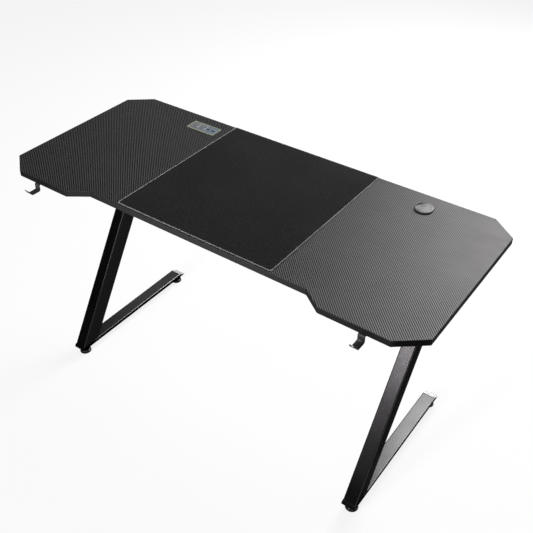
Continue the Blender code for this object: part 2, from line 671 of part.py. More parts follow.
def make_outlet():
    """Cable outlet: flanged sleeve, lid with a notch, shutter on the lid's pin."""
    flange_top = TOP_HEIGHT + FLANGE_HEIGHT
    lid_top = flange_top - LID_SINK
    lid_bottom = lid_top - LID_THICKNESS
    ledge = lid_bottom - GAP
    seat = LID_RADIUS + TURN_PLAY
    place = Vector((OUTLET_X, OUTLET_Y, 0))
    turned("grommet_sleeve",
           [(seat, flange_top), (FLANGE_RADIUS - FLANGE_EDGE, flange_top),
            (FLANGE_RADIUS, flange_top - FLANGE_EDGE), (FLANGE_RADIUS, TOP_HEIGHT + GAP),
            (SLEEVE_RADIUS, TOP_HEIGHT + GAP), (SLEEVE_RADIUS, TOP_UNDERSIDE - SLEEVE_BELOW),
            (SLEEVE_BORE, TOP_UNDERSIDE - SLEEVE_BELOW), (SLEEVE_BORE, ledge), (seat, ledge)],
           upright(place), "plastic", ROUND_SIDES, closed=True)

    pin_top = lid_bottom + PIN_BITE
    lid_mesh = prism("grommet_lid", [circle(LID_RADIUS, ROUND_SIDES)], LID_THICKNESS)
    lid_middle = Vector((OUTLET_X, OUTLET_Y, (lid_top + lid_bottom) / 2))
    lid = add_part("grommet_lid", lid_mesh, upright(lid_middle), "lid")
    notch_centre = lid_middle + Vector((NOTCH_CENTRE_X, NOTCH_CENTRE_Y, 0))
    drill(lid, notch_centre, Vector((0, 0, 1)), NOTCH_RADIUS, 3 * LID_THICKNESS,
          2 * ROUND_SIDES)
    drill(lid, Vector((OUTLET_X, OUTLET_Y, lid_bottom)), Vector((0, 0, 1)),
          PIN_RADIUS + GAP, 2 * (PIN_BITE + GAP))

    shutter_radius = SLEEVE_BORE - TURN_PLAY
    arc_steps = ROUND_SIDES // 2
    outline = []
    for step in range(arc_steps + 1):
        angle = SHUTTER_FROM + (SHUTTER_TO - SHUTTER_FROM) * step / arc_steps
        outline.append(Vector((math.cos(angle), math.sin(angle))) * shutter_radius)
    hub_sweep = 2 * math.pi - (SHUTTER_TO - SHUTTER_FROM)
    for step in range(arc_steps // 2 + 1):
        angle = SHUTTER_TO + hub_sweep * step / (arc_steps // 2)
        outline.append(Vector((math.cos(angle), math.sin(angle))) * SHUTTER_HUB)
    shutter_top = ledge
    shutter_bottom = shutter_top - SHUTTER_THICKNESS
    pin_hole = circle(PIN_RADIUS + TURN_PLAY, SMALL_SIDES)
    shutter_mesh = prism("grommet_shutter", [outline, pin_hole], SHUTTER_THICKNESS)
    add_part("grommet_shutter", shutter_mesh,
             upright((OUTLET_X, OUTLET_Y, (shutter_top + shutter_bottom) / 2)), "lid")

    head_top = shutter_bottom - TURN_PLAY
    head_low = head_top - PIN_HEAD_HEIGHT
    turned("grommet_pin",
           [(0, pin_top), (PIN_RADIUS, pin_top), (PIN_RADIUS, head_top),
            (PIN_HEAD_RADIUS, head_top), (PIN_HEAD_RADIUS, head_low), (0, head_low)],
           upright(place), "steel", SMALL_SIDES)


def make_panel():
    """Power panel: a housing with a rim on the top, and a face plate on its ledge."""
    place = Vector((PANEL_X, PANEL_Y, 0))
    rim_top = TOP_HEIGHT + PANEL_RIM_HEIGHT
    face_top = rim_top - PANEL_FACE_SINK
    ledge = face_top - PANEL_FACE_THICKNESS - GAP
    bottom = TOP_UNDERSIDE - PANEL_BELOW
    mouth_length = PANEL_LENGTH - 2 * PANEL_RIM_WIDTH
    mouth_width = PANEL_WIDTH - 2 * PANEL_RIM_WIDTH
    mouth_corner = PANEL_CORNER / 2
    box = (PANEL_BOX_LENGTH, PANEL_BOX_WIDTH, PANEL_CORNER)
    rim = (PANEL_LENGTH, PANEL_WIDTH, PANEL_CORNER)
    mouth = (mouth_length, mouth_width, mouth_corner)
    hollow = (mouth_length - 2 * PANEL_WALL, mouth_width - 2 * PANEL_WALL, mouth_corner)
    tray("power_housing",
         [(*box, bottom), (*box, TOP_HEIGHT + GAP), (*rim, TOP_HEIGHT + GAP), (*rim, rim_top),
          (*mouth, rim_top), (*mouth, ledge), (*hollow, ledge), (*hollow, bottom + PANEL_WALL)],
         upright(place), "panel_rim")

    loops = [rectangle(mouth_length - 2 * GAP, mouth_width - 2 * GAP, mouth_corner)]
    for x in SOCKET_XS:
        loops.append(shifted(rectangle(SOCKET_SLOT_WIDTH, SOCKET_LONG_SLOT, SLOT_CORNER),
                             x - SOCKET_SLOT_STEP, SOCKET_SLOT_Y))
        loops.append(shifted(rectangle(SOCKET_SLOT_WIDTH, SOCKET_SHORT_SLOT, SLOT_CORNER),
                             x + SOCKET_SLOT_STEP, SOCKET_SLOT_Y))
        loops.append(circle(SOCKET_PIN_RADIUS, SMALL_SIDES, (x, SOCKET_PIN_Y)))
    for x in CHARGER_XS:
        loops.append(shifted(rectangle(CHARGER_SLOT_LENGTH, CHARGER_SLOT_WIDTH, SLOT_CORNER),
                             x, 0))
    mesh = prism("power_face", loops, PANEL_FACE_THICKNESS)
    add_part("power_face", mesh,
             upright((PANEL_X, PANEL_Y, face_top - PANEL_FACE_THICKNESS / 2)), "panel_face")


clear_scene()
parts = new_collection("gaming_desk")
cutters = new_collection("cutters")
footprint = bpy.data.objects.new("footprint_centre", None)
bpy.context.scene.collection.objects.link(footprint)
footprint.location.y = FOOTPRINT_SHIFT
bpy.context.view_layer.update()

make_top()
make_mat()
for frame_name, frame_side in SIDES.items():
    make_side_frame(frame_name, frame_side)
    make_screws(frame_name, frame_side)
    make_hook(frame_name, frame_side)
    for foot_name, foot_y in FOOT_YS.items():
        make_foot(f"{foot_name}_{frame_name}", frame_side * LEG_X, foot_y)
for beam_name, beam_centre_y in BEAM_YS.items():
    make_beam(beam_name, beam_centre_y)
make_outlet()
make_panel()
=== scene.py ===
import math

import bpy
import numpy as np
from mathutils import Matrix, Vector


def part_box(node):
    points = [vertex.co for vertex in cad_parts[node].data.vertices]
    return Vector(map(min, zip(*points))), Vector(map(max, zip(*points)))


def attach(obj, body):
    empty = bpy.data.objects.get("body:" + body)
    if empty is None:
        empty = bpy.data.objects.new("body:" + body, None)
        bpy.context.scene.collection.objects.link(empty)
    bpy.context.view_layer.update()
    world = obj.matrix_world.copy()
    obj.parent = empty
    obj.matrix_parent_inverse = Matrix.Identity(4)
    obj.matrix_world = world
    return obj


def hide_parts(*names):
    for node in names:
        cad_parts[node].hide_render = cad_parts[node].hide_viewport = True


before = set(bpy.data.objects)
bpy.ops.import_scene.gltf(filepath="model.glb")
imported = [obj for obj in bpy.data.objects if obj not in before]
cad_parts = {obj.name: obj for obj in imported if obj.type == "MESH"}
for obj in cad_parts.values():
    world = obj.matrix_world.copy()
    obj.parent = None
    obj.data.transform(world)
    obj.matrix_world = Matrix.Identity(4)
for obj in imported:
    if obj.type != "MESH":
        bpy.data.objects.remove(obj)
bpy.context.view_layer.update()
print("frame loaded:", len(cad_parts), "nodes")


def addObject(name, data):
    made = bpy.data.objects.new(name, data)
    bpy.context.scene.collection.objects.link(made)
    return made


def mathNode(operation):
    return lambda wire, other: wire.math(operation, other)


class Wire:
    # an output socket of a material: sums written with it add Math nodes
    def __init__(self, socket):
        self.socket = socket

    def node(self, kind, values=None, **settings):
        # settings are set first, then each socket gets a number, a colour or a wire
        tree = self.socket.id_data
        made = tree.nodes.new("ShaderNode" + kind)
        for key, value in settings.items():
            setattr(made, key, value)
        for key, value in (values or {}).items():
            if isinstance(value, Wire):
                tree.links.new(value.socket, made.inputs[key])
            else:
                made.inputs[key].default_value = value
        return Wire(made.outputs[0]) if made.outputs else None

    def output(self, key):
        return Wire(self.socket.node.outputs[key])

    def math(self, operation, *others):
        return self.node("Math", dict(enumerate((self, *others))), operation=operation)

    def __rsub__(self, other):
        return self.node("Math", {0: other, 1: self}, operation="SUBTRACT")

    __add__ = mathNode("ADD")
    __sub__ = mathNode("SUBTRACT")
    __mul__ = mathNode("MULTIPLY")
    __truediv__ = mathNode("DIVIDE")
    __mod__ = mathNode("FLOORED_MODULO")
    __lt__ = mathNode("LESS_THAN")
    __gt__ = mathNode("GREATER_THAN")
    __rmul__ = __mul__


def split(place):
    parts = place.node("SeparateXYZ", {0: place})
    return parts, parts.output(1), parts.output(2)


def splitUv(place, name):
    return split(place.node("UVMap", uv_map=name))[:2]


def stretched(place, x, y, z):
    return place.node("VectorMath", {0: place, 1: (x, y, z)}, operation="MULTIPLY")


def noise(place, scale, detail=2.0, roughness=0.5):
    return place.node("TexNoise", {"Vector": place, "Scale": scale, "Detail": detail,
                                   "Roughness": roughness})


def fade(value, low, high, toLow=0.0, toHigh=1.0):
    # runs smoothly from toLow to toHigh while the value goes from low to high
    return value.node("MapRange", {0: value, 1: low, 2: high, 3: toLow, 4: toHigh},
                      interpolation_type="SMOOTHSTEP")


def within(value, low, lowEnd, high, highEnd):
    # rises to 1 from low to lowEnd, and falls back to 0 from high to highEnd
    return fade(value, low, lowEnd) * fade(value, high, highEnd, 1.0, 0.0)


def mix(factor, first, second):
    return factor.node("Mix", {0: factor, 6: first, 7: second}, data_type="RGBA").output(2)


def bump(height, distance, strength):
    return height.node("Bump", {"Height": height, "Distance": distance, "Strength": strength})


def grey(level, warmth=0.0):
    return (level * (1 + warmth), level, level * (1 - warmth), 1.0)


def plum(level, cast=0.012):
    # the faint purple cast of the weave, stronger in the paint
    return (level * (1 + cast), level * (1 - cast), level * (1 + cast * 0.7), 1.0)


def startNodes(holder):
    # an emptied node tree that begins with the Object coordinates
    holder.use_nodes = True
    holder.node_tree.nodes.clear()
    return Wire(holder.node_tree.nodes.new("ShaderNodeTexCoord").outputs["Object"])


def addMaterial(name, finish):
    # finish gets the Object coordinates and gives the values of the Principled shader
    material = bpy.data.materials.new(name)
    place = startNodes(material)
    place.node("OutputMaterial", {"Surface": place.node("BsdfPrincipled", finish(place))})
    return material


def surface(colour, roughness, normal, specular):
    return {"Base Color": colour, "Roughness": roughness, "Normal": normal,
            "Specular IOR Level": specular}


def metal(colour, roughness, normal, glance=1.0):
    return {"Base Color": colour, "Roughness": roughness, "Normal": normal, "Metallic": 1.0,
            "Specular Tint": grey(glance)}


def recoloured(values, colour):
    return values | {"Base Color": colour}


carbonLook = {
    "strand": 0.00185,        # width of one strand, metres
    "fibres": 6,              # fine fibres across a strand
    "dark": 0.0022,           # strands that run across
    "light": 0.062,           # strands that run lengthways
    "middle": 0.42,           # where the two blend when the weave fades
    "roughness": 0.50,
    "glance": 0.45,           # how far it lights up at a glancing angle
    "relief": 0.00010,
}


def twill(u, v, strand):
    # two-over-two twill: with the strands numbered across and along, the lengthways strand is on
    # top where the two numbers' sum, divided by four, leaves 0 or 1, and each visible stretch is
    # a hump, round across its width and arched over its length of two strands
    across = u / strand
    along = v / strand
    column = across.math("FLOOR")
    row = along.math("FLOOR")
    step = (column + row) % 4
    onTop = step < 1.5
    inColumn = across - column
    inRow = along - row
    side = onTop * inColumn + (1 - onTop) * inRow
    length = onTop * inRow + (1 - onTop) * inColumn + step % 2
    middle = side * 2 - 1
    crown = 1 - middle * middle
    arch = (length * (math.pi / 2)).math("SINE")
    return onTop, crown, arch, side


def carbonFinish(u, v, place, look, faded=0.0):
    # faded, from 0 to 1, takes the weave's contrast and relief away
    onTop, crown, arch, side = twill(u, v, look["strand"])
    fibres = (side * (2 * math.pi * look["fibres"])).math("SINE") * 0.5 + 0.5
    hump = crown * (arch * 0.7 + 0.3)
    height = hump + fibres * 0.06
    patches = noise(place, 9) * 0.10 + 0.95
    # painted shade: each lengthways strand darkens towards its edges and ends, where its hump
    # curves away
    shine = onTop * (fibres * 0.15 + 0.85) * (hump * 0.25 + 0.75)
    lightness = (shine * (1 - faded) + look["middle"] * faded) * patches
    smears = noise(stretched(place, 1, 3, 1), 14, 3, 0.6)
    return metal(mix(lightness, plum(look["dark"]), plum(look["light"])),
                 fade(smears, 0.3, 0.7, -0.015, 0.02) + look["roughness"],
                 bump(height * (1 - faded), look["relief"], 0.5), look["glance"])


topLook = {
    "fadeRear": (-0.13, 0.10),                # y from where to where the weave fades
    "fadeRight": (0.45, 0.70, 0.15, 0.85),    # x of the two ends, and how far it fades at each
}


def topFinish(place):
    x, y, _ = split(place)
    faded = fade(y, *topLook["fadeRear"]) * fade(x, *topLook["fadeRight"])
    return carbonFinish(x, y, place, carbonLook, faded)


bandLook = {
    "dark": 0.0245,
    "light": 0.068,
    "frontEdge": (-0.225, -0.19),             # y where the front ends and the side begins
    # painted shade: how far the band's colour darkens on its front, its sides and its front right
    # corner
    "frontPaintedShade": (0.05, 0.65, 0.0, 0.62),    # from the middle of the front outwards
    "sidePaintedShade": 0.60,
    "cornerPaintedShade": (0.61, 0.64, 0.0, 0.88),   # the front right corner
    "lip": (0.0007, 0.0003),                  # depth of the strip that matches the laminate
}


def bandFinish(place):
    # a closer, slanted weave, and the strip that lies level with the laminate looks like it;
    # painted shade darkens the colour from the middle of the front outwards, on the sides and at
    # the front right corner
    u, v = splitUv(place, "alongEdge")
    x, y, z = split(place)
    look = dict(carbonLook, dark=bandLook["dark"], light=bandLook["light"])
    sides = carbonFinish(u, v, place, look)
    front = fade(y, *bandLook["frontEdge"], 1.0, 0.0)
    shade = (front * fade(x.math("ABSOLUTE"), *bandLook["frontPaintedShade"])
             + (1 - front) * bandLook["sidePaintedShade"])
    corner = front * fade(x, *bandLook["cornerPaintedShade"])
    # painted shade mixes the colour towards near black
    shaded = mix(shade.math("MAXIMUM", corner), sides["Base Color"], grey(0.001))
    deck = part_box("edge_band")[1].z
    upper = fade(z, *(deck - depth for depth in bandLook["lip"]))
    return recoloured(sides, mix(upper, shaded, topFinish(place)["Base Color"]))


paintLook = {
    "colour": 0.0030,
    "cast": 0.030,
    "specks": 0.745,          # noise above this is a dust speck
    # painted light: the posts' side and back faces are lighter than their fronts, the right
    # post's far more
    "sides": (0.0140, 0.0650),    # side and back faces of the left and right post
    # painted highlight along the front corner of the left post
    "wearAndPaintedLight": 0.024,            # front corner of the left post
    # painted light on the right post's front, low down
    "lowPaintedLight": 0.0048,          # front of the right post, low down
    "lowPaintedLightHeights": (0.06, 0.18, 0.24, 0.33),
    # painted light: the top faces of the foot bars are lighter
    "paintedTopLight": 0.0155,          # top faces of the foot bars
    # painted highlight along the right top corners of the foot bars
    "paintedEdgeHighlight": 0.075,          # right top corners of the foot bars
    "roughness": 0.22,
    "glance": 0.25,
    "grain": 0.00001,
}


def paintFinish(place, *layers):
    # black metal-flake powder coat that stays dark at a glancing angle: a fine orange-peel skin
    # with faint clouds in its gloss and a few dust specks; each layer is a mask and its colour,
    # and the layers paint light and highlights onto it
    base, cast = paintLook["colour"], paintLook["cast"]
    peel = noise(place, 900, 2, 0.55)
    waves = noise(place, 160, 1)
    clouds = noise(place, 7, 3, 0.6)
    specks = noise(place, 420, 0) > paintLook["specks"]
    clean = mix(fade(clouds, 0.35, 0.7), plum(base * 0.9, cast), plum(base * 1.15, cast))
    for mask, colour in layers:
        clean = mix(mask, clean, colour)
    return metal(mix(specks * 0.1, clean, grey(0.05)),
                 fade(clouds, 0.3, 0.7, -0.02, 0.04) + paintLook["roughness"],
                 bump(peel + waves * 2, paintLook["grain"], 0.6), paintLook["glance"])


def postFinish(place):
    # u counts the points round the post: its front face lies between 6 and 7, and the corner
    # beside it, from 7 to 13, carries a painted highlight on the left post
    u = splitUv(place, "roundPost")[0]
    x, _, z = split(place)
    # painted light: the side and back faces are lighter, the right post's far more than the
    # left's
    sides = fade(u, 1, 5, 1.0, 0.0).math("MAXIMUM", fade(u, 8, 12))
    # painted highlight: a light line along the left post's front corner
    wearAndPaintedLight = within(u, 8.2, 9.4, 10.6, 11.8) * (x < 0)
    side = mix(x > 0, *(plum(level) for level in paintLook["sides"]))
    # painted light: the right post's front is lighter low down
    lowPaintedLight = within(z, *paintLook["lowPaintedLightHeights"]) * (x > 0)
    return paintFinish(place, (lowPaintedLight, plum(paintLook["lowPaintedLight"], paintLook["cast"])),
                       (sides, side), (wearAndPaintedLight, grey(paintLook["wearAndPaintedLight"])))


def footBarFinish(side):
    def finish(place):
        # painted light on the top face, and behind the post a painted highlight along the corner
        # on its right
        x, y, z = split(place)
        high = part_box("foot_bar_" + side)[1]
        paintedTopLight = fade(z, high.z - 0.0012, high.z - 0.0002)
        paintedEdgeHighlight = fade(x, high.x - 0.0030, high.x - 0.0022)
        paintedEdgeHighlight = paintedEdgeHighlight * fade(z, high.z - 0.0018, high.z - 0.0012) * fade(y, -0.20, -0.18)
        return paintFinish(place, (paintedTopLight, grey(paintLook["paintedTopLight"])),
                           (paintedEdgeHighlight, grey(paintLook["paintedEdgeHighlight"])))
    return finish


clothLook = {
    "yarn": 0.00055,
    "dark": plum(0.0022),
    "light": plum(0.0074),
    "mottle": 0.5,            # darker and lighter patches, a few yarns wide
    "relief": 0.00012,
}


def clothFinish(place):
    # plain weave: yarns along and across take turns on top, each one a rounded hump
    x, y, _ = split(place)
    across, along = x / clothLook["yarn"], y / clothLook["yarn"]
    hump = ((across * math.pi).math("SINE") * (along * math.pi).math("SINE")).math("ABSOLUTE")
    fuzz = noise(place, 2600, 2, 0.6)
    # lighter patches of wear in the cloth
    wearAndPaintedLight = noise(place, 5, 3, 0.6)
    patches = fade(noise(place, 170, 2, 0.7), 0.36, 0.64, -1.0, 1.0)
    lightness = hump * 0.6 + fuzz * 0.5 - 0.1 + patches * clothLook["mottle"]
    cloth = mix(lightness, clothLook["dark"], clothLook["light"])
    return surface(mix(fade(wearAndPaintedLight, 0.4, 0.75) * 0.25, cloth, grey(0.012)),
                   fade(fuzz, 0.2, 0.8, 0.85, 0.98),
                   bump(hump + fuzz * 0.5, clothLook["relief"], 0.8), 0.04)


def threadFinish(place):
    # spun thread: light and dark plies twist along it
    u, v = splitUv(place, "alongThread")
    plies = ((u * 6 + v * 2) * (2 * math.pi)).math("SINE") * 0.5 + 0.5
    soil = noise(place, 60, 3, 0.6)
    colour = mix(plies, grey(0.19), grey(0.31))
    return surface(mix(fade(soil, 0.4, 0.8) * 0.4, colour, grey(0.2, 0.04)),
                   plies * -0.1 + 0.8, bump(plies, 0.0001, 0.6), 0.3)


def boardFinish(place):
    # black melamine underneath, chipboard where the core is cut
    z = split(place)[2]
    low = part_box("desktop_board")[0].z
    skin = fade(z, low + 0.0001, low + 0.0003, 1.0, 0.0)
    chips = noise(stretched(place, 1, 1, 2.5), 260, 3, 0.7)
    core = mix(fade(chips, 0.35, 0.65), (0.20, 0.12, 0.06, 1), (0.46, 0.33, 0.19, 1))
    grain = noise(place, 1400, 2)
    melamine = mix(grain, grey(0.008), grey(0.016))
    return surface(mix(skin, core, melamine), fade(grain, 0.3, 0.7, 0.45, 0.6),
                   bump(grain + chips * (1 - skin) * 4, 0.00004, 0.6), 0.3)


def plasticFinish(level, roughness, specular):
    def finish(place):
        # moulded plastic: a fine spark-eroded grain and slow changes in gloss
        grain = noise(place, 1900, 2, 0.6)
        slow = noise(place, 30, 2)
        return surface(mix(slow, grey(level * 0.85), grey(level * 1.15, 0.01)),
                       fade(slow, 0.3, 0.7, roughness - 0.04, roughness + 0.06),
                       bump(grain, 0.00002, 0.5), specular)
    return finish


def metalFinish(level, roughness, tint):
    def finish(place):
        # plated or blackened steel: fine turning marks and dull grey spots
        marks = noise(stretched(place, 1, 1, 14), 700, 2)
        spots = noise(place, 220, 3, 0.6)
        dull = fade(spots, 0.5, 0.75)
        plain, spot = (tuple(share * value for value in tint) + (1.0,) for share in (level, 0.6))
        return metal(mix(dull, plain, spot), marks * 0.15 + dull * 0.2 + roughness,
                     bump(marks, 0.00002, 0.5))
    return finish


def padFinish(place):
    # matt black, polished on the right half of the slanted ring
    x, _, z = split(place)
    low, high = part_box("foot_pad_front_right")
    centre = (low.x + high.x) / 2
    away = x - fade(x, -0.01, 0.01, -centre, centre)
    ring = within(z, *(high.z - depth for depth in (0.0042, 0.0038, 0.0008, 0.0005)))
    polish = {"Coat Weight": ring * fade(away, 0.004, 0.010) * 0.8, "Coat Roughness": 0.12}
    return plasticFinish(0.002, 0.25, 0.06)(place) | polish


def sleeveFinish(place):
    # grey on the flange's rounded top and inside, black on its outer wall
    z = split(place)[2]
    low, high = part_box("grommet_sleeve")
    upper = fade(z, high.z - 0.0026, high.z - 0.0020)
    middle = ((low.x + high.x) / 2, (low.y + high.y) / 2, 0)
    away = place.node("VectorMath", {0: stretched(place, 1, 1, 0), 1: middle},
                      operation="DISTANCE").output("Value")
    inside = fade(away, 0.0242, 0.0246, 1.0, 0.0)
    pale = plasticFinish(*lidLook)(place)
    return recoloured(pale, mix(upper.math("MAXIMUM", inside), grey(0.006), pale["Base Color"]))


hookLook = {
    # painted light and shade: the cradle's floor is lighter and its drop darker
    "floor": 0.050,           # the floor of the cradle
    "drop": 0.016,
    # painted shade along the strip's edges and at the lip's corners
    "wearAndPaintedLight": 0.002,            # along the strip's edges and at the corners of the lip
    "tip": 0.30,              # painted highlight on the end of the lip
}


def hookFinish(side):
    def finish(place):
        # painted shade on the drop, the strip's edges and the lip's corners; painted light on the
        # floor and the lip's end
        x, y, z = split(place)
        low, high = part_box("headset_hook_" + side)
        half = (high.x - low.x) / 2
        away = (x - (low.x + half)).math("ABSOLUTE")
        tip = fade(y, low.y + 0.0026, low.y + 0.0040, 1.0, 0.0)
        edge = fade(x, high.x - 0.0040, high.x - 0.0030).math(
            "MAXIMUM", fade(x, low.x + 0.0008, low.x + 0.0016, 1.0, 0.0))
        edge = edge.math("MAXIMUM", tip * fade(away, half - 0.0085, half - 0.0070))
        body = mix(fade(z, low.z + 0.003, low.z + 0.007), plum(hookLook["floor"]),
                   plum(hookLook["drop"]))
        colour = mix(edge, mix(tip, body, grey(hookLook["tip"])), grey(hookLook["wearAndPaintedLight"]))
        return recoloured(plasticFinish(0.036, 0.50, 0.2)(place), colour)
    return finish


def housingFinish(place):
    # a pale olive rim above the work surface, black moulding below it
    z = split(place)[2]
    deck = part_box("edge_band")[1].z
    upper = fade(z, deck - 0.0002, deck + 0.0002)
    return recoloured(plasticFinish(0.10, 0.45, 0.15)(place),
                      mix(upper, grey(0.008), (0.11, 0.125, 0.075, 1)))


def faceFinish(place):
    # smooth blue-grey plate, a shade cooler towards the charging sockets
    x = split(place)[0]
    low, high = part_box("power_face")
    cool = mix(fade(x, low.x, high.x), (0.042, 0.044, 0.048, 1), (0.034, 0.050, 0.068, 1))
    return recoloured(plasticFinish(0.05, 0.42, 0.12)(place), cool)


sideNames = ("left", "right")
endNames = ("front", "rear")
lidLook = (0.044, 0.24, 0.075)  # level, roughness, specular
carbonTop = addMaterial("carbon_weave_laminate", topFinish)
carbonBand = addMaterial("carbon_weave_band", bandFinish)
blackPaint = addMaterial("black_powder_coat", paintFinish)
postPaint = addMaterial("post_paint", postFinish)
footBarPaint = {side: addMaterial("foot_bar_paint_" + side, footBarFinish(side))
                for side in sideNames}
hookPaint = {side: addMaterial("hook_paint_" + side, hookFinish(side)) for side in sideNames}
blackCloth = addMaterial("black_cloth", clothFinish)
greyThread = addMaterial("grey_thread", threadFinish)
boardCore = addMaterial("melamine_board", boardFinish)
blackPlastic = addMaterial("black_plastic", plasticFinish(0.008, 0.34, 0.45))
padPlastic = addMaterial("foot_plastic", padFinish)
rubber = addMaterial("foot_rubber", plasticFinish(0.003, 0.75, 0.1))
lidPlastic = addMaterial("lid_plastic", plasticFinish(*lidLook))
sleevePlastic = addMaterial("sleeve_plastic", sleeveFinish)
panelRim = addMaterial("panel_rim", housingFinish)
panelFace = addMaterial("panel_face", faceFinish)
# painted reflection: a bright metal face stands in for the backdrop reflected on the black rear
# end plates
paintedReflectionPlate = addMaterial("plate_painted_reflection", metalFinish(0.30, 0.30, (1.0, 1.0, 1.0)))
blackSteel = addMaterial("blackened_steel", metalFinish(0.09, 0.32, (1.0, 1.0, 1.02)))
zincSteel = addMaterial("zinc_steel", metalFinish(0.62, 0.28, (1.0, 0.99, 0.96)))
print("materials made:", len(bpy.data.materials))


def unit(vectors):
    return vectors / np.linalg.norm(vectors, axis=-1, keepdims=True)


def leftOf(directions):
    return np.stack([-directions[:, 1], directions[:, 0]], -1)


def fullTurn(count):
    return np.linspace(0, 2 * math.pi, count, endpoint=False)


def polar(radius, angle):
    return np.stack([radius * np.cos(angle), radius * np.sin(angle)], -1)


def closed(path):
    return np.vstack([path, path[:1]])


def lengthAlong(path):
    return np.append(0, np.cumsum(np.linalg.norm(np.diff(path, axis=0), axis=1)))


def pointsAlong(path, length, where):
    return np.stack([np.interp(where, length, values) for values in path.T], -1)


def gridFaces(rows, columns, closeRows=False):
    # four-sided faces between neighbouring points of a grid that is numbered row by row,
    # and the row and column of each of their corners, counted on past the seams
    row, column = np.meshgrid(np.arange(rows if closeRows else rows - 1), np.arange(columns),
                              indexing="ij")
    cornerRows = np.stack([row, row, row + 1, row + 1], -1).reshape(-1, 4)
    cornerColumns = np.stack([column, column + 1, column + 1, column], -1).reshape(-1, 4)
    return (cornerRows % rows) * columns + cornerColumns % columns, cornerRows, cornerColumns


def makeShell(grid, closeRows=False, mirrored=False, uvRows=None, uvColumns=None):
    # a grid of points (rows, columns, 3) becomes faces, and caps close its open ends: flat ones,
    # or strips between the two halves of an outline whose points mirror each other
    rows, columns = grid.shape[:2]
    quads, cornerRows, cornerColumns = gridFaces(rows, columns, closeRows)
    groups = [quads]
    if not closeRows:
        cap = np.arange(columns)[None]
        if mirrored:
            step = np.arange(columns // 2 - 1)
            cap = np.stack([step, step + 1, columns - 2 - step, columns - 1 - step], -1)
        groups += [cap[:, ::-1], cap + (rows - 1) * columns]
    uv = None
    if uvRows is not None:
        uv = np.stack([uvColumns[cornerColumns], uvRows[cornerRows]], -1).reshape(-1, 2)
    return {"points": grid.reshape(-1, 3), "groups": groups, "uv": uv}


def shellVolume(points, groups):
    # sum over the faces' triangles of a . (b x c) / 6
    total = 0.0
    for faces in groups:
        for corner in range(1, faces.shape[1] - 1):
            a, b, c = points[faces[:, 0]], points[faces[:, corner]], points[faces[:, corner + 1]]
            total += float((a * np.cross(b, c)).sum()) / 6
    return total


def addPiece(name, shells, material, replaced, body="desk", uvName=None, sharp=32.0,
             flats=True):
    # one mesh from several closed shells, each turned so that its faces point outwards; flats
    # keeps broad faces flat between rounded edges
    points, polygons, corners = [], [], []
    offset = 0
    for shell in shells:
        flipped = shellVolume(shell["points"] - shell["points"].mean(0), shell["groups"]) < 0
        for number, faces in enumerate(shell["groups"]):
            uv = np.zeros((faces.size, 2))
            if shell["uv"] is not None and number == 0:
                uv = shell["uv"]
            uv = uv.reshape(faces.shape[0], faces.shape[1], 2)
            if flipped:
                faces, uv = faces[:, ::-1], uv[:, ::-1]
            polygons += (faces + offset).tolist()
            corners.append(uv.reshape(-1, 2))
        points.append(shell["points"])
        offset += len(shell["points"])
    mesh = bpy.data.meshes.new(name)
    mesh.from_pydata(np.concatenate(points).tolist(), [], polygons)
    mesh.shade_smooth()
    mesh.set_sharp_from_angle(angle=math.radians(sharp))
    if uvName:
        layer = mesh.uv_layers.new(name=uvName)
        layer.data.foreach_set("uv", np.concatenate(corners).ravel())
    mesh.materials.append(material)
    piece = addObject(name, mesh)
    if flats:
        piece.modifiers.new("broadFaces", "WEIGHTED_NORMAL").keep_sharp = True
    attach(piece, body)
    if replaced:
        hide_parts(*replaced)
    return piece


def repaint(name, material):
    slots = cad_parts[name].data.materials
    slots.clear()
    slots.append(material)


def nodeBox(name):
    low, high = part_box(name)
    return np.array(low), np.array(high)


def nodeMiddle(name):
    low, high = nodeBox(name)
    return (low + high) / 2


def roundLoop(corners, radii, inset=0.0, steps=6):
    # points of a closed outline with rounded corners, moved inwards by inset: at each corner the
    # arc's centre is the radius away from both sides, and the arc's radius changes by the inset
    corners = np.asarray(corners, float)
    radii = np.broadcast_to(np.asarray(radii, float), len(corners))[:, None]
    arriving = unit(corners - np.roll(corners, 1, 0))
    leaving = np.roll(arriving, -1, 0)
    turn = np.arctan2(arriving[:, 0] * leaving[:, 1] - arriving[:, 1] * leaving[:, 0],
                      (arriving * leaving).sum(1))[:, None]
    side = np.sign(turn)
    start = leftOf(arriving)
    centre = corners + side * radii * (start + leftOf(leaving)) / (1 + np.cos(turn))
    angle = turn * np.linspace(0, 1, steps)[None]
    inward = np.stack([start[:, :1] * np.cos(angle) - start[:, 1:] * np.sin(angle),
                       start[:, :1] * np.sin(angle) + start[:, 1:] * np.cos(angle)], -1)
    reach = (side * radii - inset)[:, :, None]
    return (centre[:, None] - inward * reach).reshape(-1, 2)


def box2d(width, height):
    a, b = width / 2, height / 2
    return [(-a, -b), (a, -b), (a, b), (-a, b)]


def arcPoints(centre, radius, start, end, steps):
    # points of an arc, angles in degrees
    return centre + polar(radius, np.radians(np.linspace(start, end, steps)))


def raised(loop, height, centre=(0.0, 0.0)):
    # a flat outline lifted to a height
    return np.column_stack([np.array(centre)[:2] + loop, np.full(len(loop), height)])


def turnedShell(profile, centre, sides, ripple=None, closeRows=False):
    # a profile of (radius, height) turned about an upright line: x = radius cos a, y = radius
    # sin a; ripple(a, height) scales the radius
    profile = np.asarray(profile, float)
    angle = fullTurn(sides)[None]
    radius, height = (np.repeat(column[:, None], sides, 1) for column in profile.T)
    if ripple:
        radius = radius * ripple(angle, height)
    grid = np.concatenate([polar(radius, angle), height[:, :, None]], -1)
    return makeShell(centre + grid, closeRows=closeRows)


